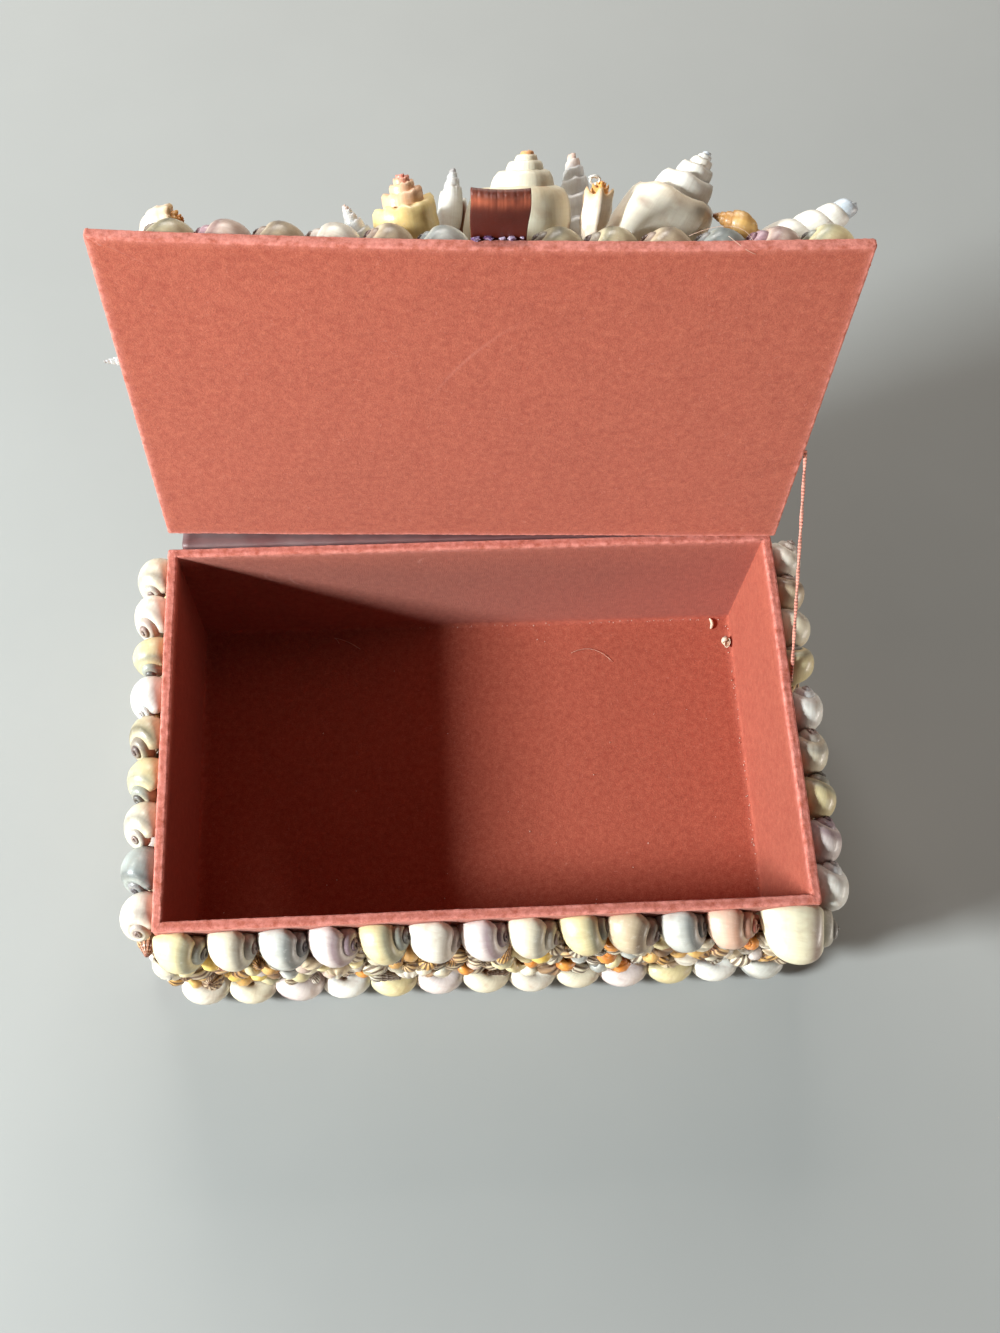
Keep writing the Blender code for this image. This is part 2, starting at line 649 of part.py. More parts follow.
def main():
    clear_scene()
    make_collection(COLLECTION)
    make_collection(CUTTERS)
    make_box_body()
    make_hinge_strip()
    make_stay_cord()
    make_top_rows()
    make_foot_rows()
    make_corner_shell()
    make_wall_bands()
    hinge = make_hinge_empty()
    make_lid_board(hinge)
    make_ribbon_pull(hinge)
    make_lid_rows(hinge)
    make_lid_field(hinge)
    for shell in LARGE_SHELLS:
        turned_shell(shell, hinge)


main()
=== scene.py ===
"""The looks of a shell box: a velvet lined card box with a hinged lid, covered in sea shells.

Metres, +Z up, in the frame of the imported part. Every new piece is a surface worked out as whole
arrays, and replaces the plain solid that holds its place. Shells are set out in the frame of the
face that they are glued to: x along the face, y out of it and z across it.
"""

import json
import math
from typing import NamedTuple

import bpy
import numpy as np
from bpy.props import FloatProperty, FloatVectorProperty, IntProperty, PointerProperty
from mathutils import Matrix, Vector


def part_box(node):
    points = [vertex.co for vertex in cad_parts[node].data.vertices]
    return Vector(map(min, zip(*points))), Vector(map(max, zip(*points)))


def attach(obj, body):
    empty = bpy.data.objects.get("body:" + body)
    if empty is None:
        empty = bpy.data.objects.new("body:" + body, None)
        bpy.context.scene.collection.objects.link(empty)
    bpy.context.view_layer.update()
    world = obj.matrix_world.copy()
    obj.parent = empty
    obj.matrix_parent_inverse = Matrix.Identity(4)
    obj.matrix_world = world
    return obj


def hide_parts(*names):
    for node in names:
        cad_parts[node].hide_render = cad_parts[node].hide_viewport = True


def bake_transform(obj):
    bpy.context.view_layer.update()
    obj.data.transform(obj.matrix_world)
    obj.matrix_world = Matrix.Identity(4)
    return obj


bl_info = {
    "name": "Shell Box",
    "version": (1, 0, 0),
    "blender": (4, 5, 0),
    "location": "3D View > Sidebar > Shell Box",
    "description": "Dresses a hinged, velvet lined box in sea shells",
    "category": "Object",
}

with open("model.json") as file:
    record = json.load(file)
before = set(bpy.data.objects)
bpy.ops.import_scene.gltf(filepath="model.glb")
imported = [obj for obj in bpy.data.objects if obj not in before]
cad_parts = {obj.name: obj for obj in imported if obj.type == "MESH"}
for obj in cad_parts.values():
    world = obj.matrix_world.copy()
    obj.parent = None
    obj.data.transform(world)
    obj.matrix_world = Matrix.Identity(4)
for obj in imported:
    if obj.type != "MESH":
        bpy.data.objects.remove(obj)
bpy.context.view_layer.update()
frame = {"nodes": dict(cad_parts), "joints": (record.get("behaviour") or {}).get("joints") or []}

# The box and the hinge, from the frame
BOX_LOW, BOX_HIGH = (np.array(corner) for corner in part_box("box_body"))
RIM = BOX_HIGH[2]
JOINT = frame["joints"][0]
HINGE_POINT = np.array(JOINT["pos_m"])
HINGE_AXIS = np.array(JOINT["axis"])
OPEN_ANGLE = math.radians(JOINT["range_deg"][1])

# Lid board
LID_OVERHANG = 0.0005
LID_SEAT = 0.001
LID_WIDTH = BOX_HIGH[0] - BOX_LOW[0] + 2 * LID_OVERHANG
LID_DEPTH = BOX_HIGH[1] - BOX_LOW[1] + 2 * LID_OVERHANG
LID_THICKNESS = 0.003
LID_TOP = LID_THICKNESS + 0.0003
LID_CURL = 0.0024

# Hinge strip, pull and cord
STRIP_INSET = 0.004
STRIP_ON_WALL = 0.0085
STRIP_ON_LID = 0.0045
STRIP_THICKNESS = 0.0003
STRIP_OFF_FACE = 0.00045
PULL_X = 0.0035
PULL_WIDTH = 0.0140
PULL_BEYOND = 0.0142
PULL_GLUED = 0.012
PULL_LOOP = 0.0026
PULL_THICKNESS = 0.0004
CORD_DIAMETER = 0.0012
CORD_ON_LID = (LID_WIDTH / 2 + 0.0009, -0.0425, 0.0022)
CORD_ON_WALL = (BOX_HIGH[0] + 0.0014, 0.0108, RIM - 0.0052)

TAU = 2 * math.pi


# Arrays and meshes

def linear(colour):
    """Screen colour values as linear ones, by the usual power curve."""
    return ((np.asarray(colour, float) + 0.055) / 1.055) ** 2.4


def smooth_step(value, low, high):
    """0 below low, 1 above high, and a smooth S between: 3 t squared less 2 t cubed."""
    t = np.clip((value - low) / (high - low), 0.0, 1.0)
    return t * t * (3 - 2 * t)


def ripple(at, rng, lengths):
    """A sum of sine waves of the given lengths, each with its own random phase, between -1 and 1."""
    total = np.zeros(np.shape(at))
    for length in lengths:
        total += np.sin(TAU * (at / length + rng.random()))
    return total / len(lengths)


def moved(matrix, points):
    """Points carried by a four by four matrix."""
    return points @ matrix[:3, :3].T + matrix[:3, 3]


def turned_about(axis, angle):
    """The four by four matrix of a turn about a line through the origin."""
    return np.array(Matrix.Rotation(angle, 4, Vector(axis)))


def shifted(offset):
    """The four by four matrix of a move."""
    return np.array(Matrix.Translation(Vector(offset)))


LID_ORIGIN = np.array((HINGE_POINT[0], BOX_HIGH[1] + LID_OVERHANG, RIM + LID_SEAT))
LID_FRAME = shifted(HINGE_POINT) @ turned_about(HINGE_AXIS, -OPEN_ANGLE) @ shifted(LID_ORIGIN - HINGE_POINT)
UPRIGHT = turned_about((1, 0, 0), math.pi / 2)
FACES = {
    "back": shifted((0, BOX_HIGH[1], 0)),
    "front": shifted((0, BOX_LOW[1], 0)) @ turned_about((0, 0, 1), math.pi),
    "right": shifted((BOX_HIGH[0], 0, 0)) @ turned_about((0, 0, 1), -math.pi / 2),
    "left": shifted((BOX_LOW[0], 0, 0)) @ turned_about((0, 0, 1), math.pi / 2),
    "lid": shifted((0, 0, LID_THICKNESS)) @ UPRIGHT,
    "lid_side": shifted((0, 0, LID_THICKNESS)) @ turned_about((0, 0, 1), math.pi / 2) @ UPRIGHT,
}


def curl(x, y):
    """How far the lid board has lifted: the square of the place across, times the place along."""
    return LID_CURL * (2 * x / LID_WIDTH) ** 2 * np.maximum(-y / LID_DEPTH, 0.0)


def lid_to_world(points):
    """Points of the shut, flat lid as they are on the open, curled one."""
    lifted = np.array(points, float)
    lifted[:, 2] += curl(lifted[:, 0], lifted[:, 1])
    return moved(LID_FRAME, lifted)


def face_to_world(points, face):
    """Points in a face's own frame as they are in the part's frame."""
    placed = moved(FACES[face], points)
    return lid_to_world(placed) if face.startswith("lid") else placed


def world_to_face(points, face):
    """Points in the part's frame as they are in a face's own one."""
    placed = np.array(points, float)
    if face.startswith("lid"):
        placed = moved(np.linalg.inv(LID_FRAME), placed)
        placed[:, 2] -= curl(placed[:, 0], placed[:, 1])
    return moved(np.linalg.inv(FACES[face]), placed)


def body_of_face(face):
    """The moving body that a face belongs to."""
    return "lid" if face.startswith("lid") else "box"


def corners_of(node):
    """All corner points of a plain solid, one row each."""
    mesh = frame["nodes"][node].data
    points = np.empty(len(mesh.vertices) * 3, np.float32)
    mesh.vertices.foreach_get("co", points)
    return points.reshape(-1, 3).astype(float)


def face_box(node, face):
    """Lowest and highest corner of a plain solid in a face's own frame."""
    points = world_to_face(corners_of(node), face)
    return points.min(0), points.max(0)


def grid_faces(rows, columns, closed):
    """The four sided faces of a grid of points, row by row; closed joins the last column to the first."""
    across = columns if closed else columns - 1
    i, j = np.meshgrid(np.arange(rows - 1), np.arange(across), indexing="ij")
    after = (j + 1) % columns
    return np.stack((i * columns + j, i * columns + after, (i + 1) * columns + after,
                     (i + 1) * columns + j), axis=-1).reshape(-1, 4)


def volume_sign(points, faces):
    """The sign of a closed surface's volume: the sum of the pyramids from its middle to each face."""
    p = points - points.mean(0)
    a, b, c, d = (p[faces[:, k]] for k in range(4))
    halves = ((a, b, c), (a, c, d))
    return np.sign(sum(np.einsum("ij,ij->i", np.cross(u, v), w).sum() for u, v, w in halves))


class Template(NamedTuple):
    """A closed grid surface: its points, faces and end caps, with what its colours follow."""
    points: np.ndarray
    faces: np.ndarray
    caps: tuple
    shares: np.ndarray
    growth: np.ndarray
    ribbing: float


def closed_grid(points, rows, columns, shares, growth, ribbing=0.0):
    """A tube-like grid with both its ends capped, its faces pointing outwards."""
    faces = grid_faces(rows, columns, True)
    first = np.arange(columns)
    last = first + (rows - 1) * columns
    caps = (first[::-1], last)
    if volume_sign(points, faces) < 0:
        faces = faces[:, ::-1]
        caps = (first, last[::-1])
    return Template(points, faces, caps, shares, growth, ribbing)


def make_piece(name, points, faces, surface, attributes=None, smooth=True):
    """A mesh object in the part's frame, with a material and named point attributes."""
    mesh = bpy.data.meshes.new(name)
    mesh.from_pydata(points, [], faces)
    for key, values in (attributes or {}).items():
        kind, field = {1: ("FLOAT", "value"), 3: ("FLOAT_VECTOR", "vector"), 4: ("FLOAT_COLOR", "color")}[
            1 if values.ndim == 1 else values.shape[1]]
        mesh.attributes.new(key, kind, "POINT").data.foreach_set(field, values.astype(np.float32).ravel())
    mesh.materials.append(surface)
    if smooth:
        mesh.shade_smooth()
    mesh.update()
    piece = bpy.data.objects.new(name, mesh)
    bpy.context.scene.collection.objects.link(piece)
    return piece


class Pile:
    """Shells gathered in a face's frame, then built as one mesh in the part's frame."""

    def __init__(self, rng):
        self.rng = rng
        self.count = 0
        self.points = []
        self.faces = []
        self.caps = []
        self.tints = []
        self.growths = []
        self.ribbings = []

    def add(self, template, placed, colours, shade=1.0):
        """Add one copy of a template at its placed points, with a colour for each of its shares."""
        self.points.append(placed)
        self.faces.append(template.faces + self.count)
        self.caps += [(cap + self.count).tolist() for cap in template.caps]
        tint = template.shares @ linear(colours) * shade
        self.tints.append(np.column_stack((tint, np.ones(len(tint)))))
        self.growths.append(template.growth + np.array((0.0, 0.0, 40 * self.rng.random())))
        self.ribbings.append(np.full(len(placed), float(template.ribbing)))
        self.count += len(placed)

    def build(self, name, surface, body, carry=None, nodes=(), smooth=True):
        """Make the mesh, carried from its face to the part's frame, and say what it stands for."""
        points = np.concatenate(self.points)
        if carry is not None:
            points = carry(points)
        faces = np.concatenate(self.faces).tolist() + self.caps
        attributes = {"tint": np.concatenate(self.tints), "growth": np.concatenate(self.growths),
                      "ribbing": np.concatenate(self.ribbings)}
        piece = make_piece(name, points, faces, surface, attributes, smooth)
        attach(piece, body)
        if nodes:
            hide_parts(*nodes)
        return piece


def thickened(grid, thickness):
    """A sheet with two faces and closed edges: the grid pushed half its thickness each way along
    its normal."""
    rows, columns = grid.shape[:2]
    normal = np.cross(np.gradient(grid, axis=0), np.gradient(grid, axis=1))
    normal /= np.maximum(np.linalg.norm(normal, axis=-1, keepdims=True), 1e-12)
    points = np.concatenate((grid + normal * thickness / 2, grid - normal * thickness / 2)).reshape(-1, 3)
    faces = grid_faces(rows, columns, False)
    under = faces[:, ::-1] + rows * columns
    index = np.arange(rows * columns).reshape(rows, columns)
    loop = np.concatenate((index[0, :-1], index[:-1, -1], index[-1, :0:-1], index[:0:-1, 0]))
    after = np.roll(loop, -1)
    rim = np.column_stack((loop, loop + rows * columns, after + rows * columns, after))
    return points, np.concatenate((faces, under, rim))


def tube(path, radius, sides, twist=0.0, flat=1.0):
    """A capped tube along a path: its section is an ellipse that turns steadily by twist turns."""
    path = np.asarray(path, float)
    ahead = np.gradient(path, axis=0)
    ahead /= np.linalg.norm(ahead, axis=1, keepdims=True)
    aside = np.cross(ahead, (0.31, 0.17, 0.93))
    aside /= np.linalg.norm(aside, axis=1, keepdims=True)
    above = np.cross(ahead, aside)
    spin = TAU * twist * np.linspace(0, 1, len(path))[:, None]
    turn = TAU * np.arange(sides)[None, :] / sides
    wide = radius * np.cos(turn)
    thin = radius * flat * np.sin(turn)
    a = wide * np.cos(spin) - thin * np.sin(spin)
    b = wide * np.sin(spin) + thin * np.cos(spin)
    points = path[:, None, :] + a[..., None] * aside[:, None, :] + b[..., None] * above[:, None, :]
    count = len(path) * sides
    shares = np.zeros((count, 6))
    shares[:, 0] = 1.0
    along = np.repeat(np.arange(len(path)), sides)
    growth = np.column_stack((along * 0.4, np.tile(turn[0], len(path)), np.zeros(count)))
    return closed_grid(points.reshape(-1, 3), len(path), sides, shares, growth)


# Spiral shells

class Form(NamedTuple):
    """A spiral shell's proportions, in units of its last whorl.

    growth is each whorl's size over the one before it, reach and drop are where the tube's middle
    lies from the axis and below the apex, and wide and tall are half the tube's two widths. The
    shoulder is a bulge above the tube's middle, the canal a spout below it. Ribs run along the
    axis and cords round it; fine ribs, as many to a turn, are left to the material.
    """
    growth: float
    whorls: float
    reach: float
    drop: float
    wide: float
    tall: float
    shoulder: float = 0.0
    canal: float = 0.0
    ribs: int = 0
    rib_height: float = 0.0
    cords: int = 0
    cord_height: float = 0.0
    stain: float = 0.0
    fine_ribs: int = 0


MOON = Form(2.15, 2.9, 0.52, 0.98, 0.57, 0.66)
PERIWINKLE = Form(1.95, 3.0, 0.50, 1.25, 0.56, 0.74, cords=5, cord_height=0.015)
DOG_WHELK = Form(1.50, 4.5, 0.50, 1.90, 0.52, 0.70, 0.10, 0.35, cords=4, cord_height=0.04, fine_ribs=11)
TURRET = Form(1.30, 6.0, 0.50, 3.60, 0.52, 0.60, 0.08, 0.2, cords=4, cord_height=0.03, fine_ribs=13)
PLAIN_WHELK = Form(1.66, 5.0, 0.50, 1.42, 0.55, 0.68, 0.10, 1.10, 10, 0.06, 7, 0.010)
STEPPED_WHELK = Form(1.58, 4.6, 0.50, 1.50, 0.52, 0.62, 0.26, 1.10, 10, 0.24, 5, 0.03, 0.45)
BEADED_WHELK = Form(1.60, 5.8, 0.50, 1.74, 0.54, 0.70, 0.15, 1.00, 13, 0.12, 6, 0.012)
SPINDLE = Form(1.50, 4.4, 0.50, 1.80, 0.54, 0.85, 0.12, 1.2, 9, 0.13)
RIBBED_SPIRE = Form(1.42, 5.6, 0.50, 2.20, 0.53, 0.66, 0.16, 0.6, 12, 0.12, 7, 0.03, 0.25)
ROUND_SPIRE = Form(1.36, 5.0, 0.50, 2.60, 0.60, 0.62, 0.04, 0.15, 0, 0.0, 6, 0.008)
KNOBBLY = Form(1.75, 3.4, 0.50, 1.30, 0.55, 0.66, 0.26, 0.5, 8, 0.30, 5, 0.05, 0.4)
SPINY = Form(1.70, 3.8, 0.50, 1.50, 0.52, 0.70, 0.30, 0.7, 6, 0.50, 4, 0.03, 0.2)

# Extra rings that turn the lip back into the mouth: how far back, in turns, and how small
LIP_TURNS = np.array((0.0, -0.012, -0.05, -0.11, -0.16))
LIP_SIZES = np.array((0.93, 0.85, 0.76, 0.62, 0.30))


def spiral_shell(form, along, around, spots=0.0, seed=0):
    """A spiral shell 1 long and 1 wide, apex up, its middle at the origin and its mouth towards +X.

    At a turn t before the lip the tube's size is growth to the power t. Its middle stands reach
    times that size from the axis and drop times that size below the apex. Its outline is an
    ellipse whose radius swells at the shoulder, the canal, the ribs and the cords.
    """
    rng = np.random.default_rng(seed)
    turn = np.concatenate((np.linspace(-form.whorls, 0, along), LIP_TURNS))
    shrink = np.concatenate((np.ones(along), LIP_SIZES))[:, None]
    size = (form.growth ** turn)[:, None]
    phi = (math.pi + TAU * np.arange(around) / around)[None, :]
    wrapped = (phi + math.pi) % TAU - math.pi
    outer = np.clip(np.cos(phi), 0.0, 1.0)
    rib = np.zeros((len(turn), 1))
    if form.ribs:
        rib = (0.5 + 0.5 * np.cos(TAU * form.ribs * turn))[:, None] ** 2
    shoulder = np.exp(-((wrapped - 0.85) / 0.36) ** 2)
    swell = 1 + form.shoulder * shoulder + form.canal * np.exp(-((wrapped + 1.75) / 0.42) ** 2)
    swell = swell * (1 + form.rib_height * rib * np.maximum(outer ** 0.7 * 0.75, shoulder))
    swell = swell * (1 + form.cord_height * np.cos(form.cords * phi * 2) * outer)
    swell = swell * (1 + 0.012 * ripple(turn, rng, (1.3, 0.57, 0.21))[:, None])
    radius = size * (form.reach + shrink * form.wide * swell * np.cos(phi))
    height = size * (shrink * form.tall * swell * np.sin(phi) - form.drop)
    radius = np.maximum(radius, 0.02 * size)
    angle = -TAU * turn[:, None]
    points = np.stack((radius * np.cos(angle), radius * np.sin(angle), height), axis=-1).reshape(-1, 3)
    low, high = points.min(0), points.max(0)
    below_apex = (high[2] - points[:, 2:]) / (high[2] - low[2])
    points[:, :2] = (points[:, :2] - below_apex * (low + high)[:2] / 2) / (high - low)[:2].max()
    points[:, 2] = 0.5 - below_apex[:, 0]
    shares = spiral_shares(form, turn, wrapped, rib, shrink, spots, rng)
    growth = np.stack(np.broadcast_arrays(TAU * turn[:, None], wrapped, 0.0), axis=-1).reshape(-1, 3)
    return closed_grid(points, len(turn), around, shares, growth, form.fine_ribs)


def spiral_shares(form, turn, wrapped, rib, shrink, spots, rng):
    """Each point's shares of the body, band, spire, tip, mouth and spot colours, adding up to 1; the band's
    share also paints shade along the suture.
    """
    full = np.ones_like(turn[:, None] * wrapped)
    mouth = smooth_step(1 - shrink, 0.05, 0.2) * full
    tip = smooth_step(-turn[:, None], form.whorls - 1.6, form.whorls - 0.7) * full
    spire = smooth_step(-turn[:, None], 0.75, 1.15) * full
    band_and_suture_shade = np.exp(-((wrapped - 0.95) / 0.34) ** 2) * smooth_step(-turn[:, None], -0.1, 0.12) * 0.85
    band_and_suture_shade = np.maximum(band_and_suture_shade, form.stain * (1 - rib) * full) if form.stain else band_and_suture_shade
    # Painted shade: a dark line along the suture, where each whorl meets the one before, in the band
    # colour.
    band_and_suture_shade = np.maximum(band_and_suture_shade, 0.6 * np.exp(-((wrapped - 1.95) / 0.22) ** 2) * full)
    blotch = ripple(turn[:, None] * 3 + wrapped * 0.35, rng, (1.0, 0.47, 0.31))
    blotch = blotch * ripple(wrapped - turn[:, None], rng, (1.3, 0.7)) * 2
    spot = smooth_step(blotch, 0.55, 0.95) * spots
    left = full.copy()
    parts = []
    for share in (mouth, tip, spire * 0.9, band_and_suture_shade, spot):
        parts.append(left * share)
        left = left * (1 - share)
    mouth, tip, spire, band_and_suture_shade, spot = parts
    return np.stack((left, band_and_suture_shade, spire, tip, mouth, spot), axis=-1).reshape(-1, 6)


def fan_shell(ribs, around, seed=0):
    """Half a cockle, 1 wide: rays from the beak out to a round margin, domed, with ribs along the rays.

    A point is the beak plus a share k of the way to the margin; its height is a dome in k, with the
    ribs' cosine laid over it, and the underside is the same fan laid flat.
    """
    rng = np.random.default_rng(seed)
    turn = TAU * np.arange(around) / around
    margin = np.stack((0.5 * np.sin(turn), 0.46 - 0.46 * np.cos(turn)), axis=-1)
    margin *= 1 + 0.02 * ripple(turn, rng, (TAU / 3, TAU / 5))[:, None]
    ray = np.arctan2(margin[:, 0], margin[:, 1] + 0.12)
    steps = np.array((0.04, 0.22, 0.42, 0.62, 0.80, 0.93, 1.0, 0.9, 0.5, 0.05))
    domed = np.array((0.16, 0.27, 0.33, 0.32, 0.25, 0.14, 0.0, -0.02, -0.02, -0.02))
    open_side = np.clip(margin[:, 1] / 0.9, 0.0, 1.0) ** 0.5
    wave = np.cos(ribs * ray * 2)
    height = domed[:, None] * open_side[None, :] * (1 + 0.13 * wave[None, :])
    reach = steps[:, None, None] * margin[None, :, :]
    points = np.concatenate((reach, height[..., None]), axis=-1).reshape(-1, 3)
    points[:, 1] -= 0.46
    rows = len(steps)
    # Painted shade: the band colour darkens the grooves between the ribs.
    rib_groove_shade = np.tile(0.5 - 0.5 * wave, (rows, 1))
    beak = np.repeat(smooth_step(1 - steps, 0.6, 0.9)[:, None], around, axis=1)
    shares = np.zeros((rows, around, 6))
    shares[..., 1] = rib_groove_shade * 0.7 * (1 - beak)
    shares[..., 2] = beak
    shares[..., 0] = 1 - shares[..., 1] - shares[..., 2]
    growth = np.stack(np.broadcast_arrays(steps[:, None] * 9, ray[None, :], 0.0), axis=-1).reshape(-1, 3)
    return closed_grid(points, rows, around, shares.reshape(-1, 6), growth)


def pebble(around, rows, rough, seed):
    """A lump 1 wide: a ball whose radius is changed at random at each point of a coarse grid."""
    rng = np.random.default_rng(seed)
    lift = (np.arange(rows) + 0.5) / rows * math.pi
    turn = TAU * np.arange(around) / around
    radius = 0.5 * (1 - rough * rng.random((rows, around)))
    ring = radius * np.sin(lift)[:, None]
    points = np.stack((ring * np.cos(turn), ring * np.sin(turn), radius * np.cos(lift)[:, None]), axis=-1)
    count = rows * around
    shares = np.zeros((count, 6))
    shares[:, 0] = 1.0
    growth = np.zeros((count, 3))
    return closed_grid(points.reshape(-1, 3), rows, around, shares, growth)


def aimed(axis, facing):
    """The three by three matrix that takes +Z to an axis and +X as near as it can to a facing."""
    up = np.asarray(axis, float) / np.linalg.norm(axis)
    ahead = np.asarray(facing, float) - np.dot(facing, up) * up
    ahead /= np.linalg.norm(ahead)
    return np.column_stack((ahead, np.cross(up, ahead), up))


def pressed(points, floor=0.0002):
    """Points behind the glued face flattened onto it, keeping a fiftieth of their depth."""
    behind = points[:, 1] < floor
    points[behind, 1] = floor + 0.02 * (points[behind, 1] - floor).clip(-0.006)
    return points


# Colours of shells on screen, each as body, band, spire, tip, mouth and spot; the band colour also paints
# the shade along the sutures and between a fan shell's ribs
SHELL_COLOURS = {
    "cream": ((.92, .88, .78), (.62, .60, .56), (.72, .69, .65),
              (.55, .47, .44), (.72, .56, .46), (.72, .48, .30)),
    "butter": ((.91, .85, .66), (.56, .56, .50), (.62, .63, .60),
               (.42, .40, .38), (.70, .55, .42), (.66, .46, .28)),
    "ice": ((.81, .81, .78), (.42, .43, .43), (.50, .51, .51),
            (.35, .33, .35), (.60, .52, .48), (.50, .46, .44)),
    "lilac": ((.89, .84, .82), (.58, .47, .50), (.62, .53, .56),
              (.42, .32, .36), (.62, .48, .48), (.55, .42, .45)),
    "peach": ((.92, .78, .69), (.83, .62, .52), (.84, .62, .53),
              (.72, .42, .36), (.80, .55, .45), (.78, .50, .38)),
    "ivory": ((.93, .90, .84), (.72, .67, .62), (.76, .70, .66),
              (.58, .50, .47), (.74, .60, .52), (.70, .50, .35)),
    "white": ((.94, .93, .90), (.84, .83, .80), (.82, .82, .82),
              (.70, .68, .68), (.72, .52, .42), (.62, .38, .26)),
    "olive": ((.86, .80, .66), (.34, .32, .25), (.60, .55, .50),
              (.45, .38, .36), (.58, .46, .36), (.40, .32, .22)),
    "tan": ((.84, .76, .64), (.40, .32, .27), (.64, .55, .50),
            (.44, .34, .32), (.58, .44, .34), (.42, .28, .20)),
    "slate": ((.68, .70, .68), (.38, .40, .40), (.56, .55, .55),
              (.38, .35, .36), (.52, .46, .42), (.40, .38, .36)),
    "rose": ((.86, .76, .70), (.50, .36, .36), (.70, .56, .60),
             (.52, .36, .40), (.62, .44, .40), (.50, .34, .30)),
    "honey": ((.88, .70, .42), (.66, .44, .24), (.80, .58, .32),
              (.62, .40, .26), (.60, .36, .22), (.55, .30, .16)),
    "amber": ((.90, .60, .27), (.78, .42, .15), (.86, .52, .22),
              (.70, .38, .20), (.62, .32, .16), (.62, .30, .12)),
    "lemon": ((.94, .82, .44), (.86, .66, .26), (.90, .72, .34),
              (.78, .56, .28), (.70, .50, .26), (.74, .48, .18)),
    "brown": ((.66, .52, .38), (.34, .23, .16), (.52, .38, .27),
              (.38, .26, .18), (.40, .26, .18), (.30, .18, .12)),
    "coral": ((.90, .76, .55), (.84, .62, .44), (.84, .60, .50),
              (.76, .46, .36), (.72, .46, .32), (.70, .42, .24)),
    "sand": ((.87, .80, .68), (.46, .33, .22), (.74, .62, .48),
             (.56, .42, .30), (.56, .40, .28), (.44, .28, .18)),
    "apricot": ((.98, .95, .85), (.96, .90, .76), (.98, .94, .84),
                (.92, .66, .44), (.74, .52, .38), (.80, .54, .32)),
    "flame": ((.97, .91, .84), (.96, .78, .52), (.95, .68, .34),
              (.96, .62, .24), (.76, .50, .34), (.84, .52, .26)),
    "sunset": ((.97, .83, .54), (.97, .88, .64), (.94, .74, .60),
               (.90, .54, .46), (.80, .58, .40), (.86, .62, .38)),
    "pearl": ((.92, .91, .88), (.66, .65, .64), (.86, .85, .84),
              (.88, .76, .70), (.66, .58, .54), (.42, .40, .40)),
    "milk": ((1.0, .97, .90), (.96, .89, .78), (.97, .95, .91),
             (.78, .81, .84), (.66, .46, .40), (.62, .42, .32)),
    "corner": ((.93, .90, .78), (.60, .50, .48), (.74, .73, .68),
               (.52, .50, .48), (.70, .58, .50), (.80, .72, .56)),
}


def shade_of(rng, spread=0.06):
    """A small change of one shell's brightness."""
    return 1 + spread * rng.uniform(-1, 1)


# Materials

def feed(tree, socket, value):
    """Give a socket a value, or a link if the value is another node's output."""
    if isinstance(value, bpy.types.NodeSocket):
        tree.links.new(value, socket)
    else:
        socket.default_value = value


def add_node(tree, kind, inputs=None, **settings):
    node = tree.nodes.new("ShaderNode" + kind)
    for key, value in settings.items():
        setattr(node, key, value)
    for key, value in (inputs or {}).items():
        feed(tree, node.inputs[key], value)
    return node


def new_material(name, **inputs):
    """A Principled material; underscores in an input's name stand for spaces."""
    made = bpy.data.materials.new(name)
    made.use_nodes = True
    shader = made.node_tree.nodes["Principled BSDF"]
    for key, value in inputs.items():
        feed(made.node_tree, shader.inputs[key.replace("_", " ")], value)
    return made, made.node_tree, shader


def object_place(tree):
    return add_node(tree, "TexCoord").outputs["Object"]


def attribute(tree, name, output):
    return add_node(tree, "Attribute", attribute_name=name).outputs[output]


def stretched(tree, vector, scale):
    return add_node(tree, "Mapping", {"Vector": vector, "Scale": scale}).outputs["Vector"]


def noise(tree, vector, scale, detail=2.0, roughness=0.5, distortion=0.0):
    inputs = {"Vector": vector, "Scale": scale, "Detail": detail, "Roughness": roughness,
              "Distortion": distortion}
    return add_node(tree, "TexNoise", inputs).outputs["Fac"]


def mapped(tree, value, low, high, to_low=0.0, to_high=1.0):
    inputs = {"Value": value, "From Min": low, "From Max": high, "To Min": to_low, "To Max": to_high}
    return add_node(tree, "MapRange", inputs).outputs["Result"]


def math_node(tree, operation, first, second=0.0):
    return add_node(tree, "Math", {0: first, 1: second}, operation=operation).outputs[0]


def distance_to(tree, place, point):
    return add_node(tree, "VectorMath", {0: place, 1: point}, operation="DISTANCE").outputs["Value"]


def mix(tree, share, first, second, blend="MIX"):
    node = add_node(tree, "Mix", {0: share, 6: first, 7: second}, data_type="RGBA", blend_type=blend)
    return node.outputs[2]


def rgba(colour):
    return (*linear(colour), 1.0)


def bump(tree, height, depth, strength=1.0, below=None):
    inputs = {"Height": height, "Distance": depth, "Strength": strength}
    if below is not None:
        inputs["Normal"] = below
    return add_node(tree, "Bump", inputs).outputs["Normal"]


# Pale rubbed marks: centre, ring radius, width, where an arc is seen (a point and its reach), strength
SCUFFS = (
    ((-0.0505, 0.0720, 0.1760), 0.0020, 0.0022, None, 0.40),
    ((-0.0455, 0.0718, 0.1725), 0.0015, 0.0018, None, 0.35),
    ((-0.0150, 0.0599, 0.0560), 0.0030, 0.0008, ((-0.0180, 0.0599, 0.0570), 0.0040), 0.45),
    ((-0.0640, 0.0599, 0.0500), 0.0060, 0.0008, ((-0.0690, 0.0599, 0.0470), 0.0060), 0.40),
    ((-0.0540, 0.0599, 0.0480), 0.0080, 0.0008, ((-0.0610, 0.0599, 0.0440), 0.0070), 0.35),
    ((0.0700, 0.0700, 0.0950), 0.0920, 0.0008, ((0.0000, 0.0722, 0.1500), 0.0240), 0.16),
)


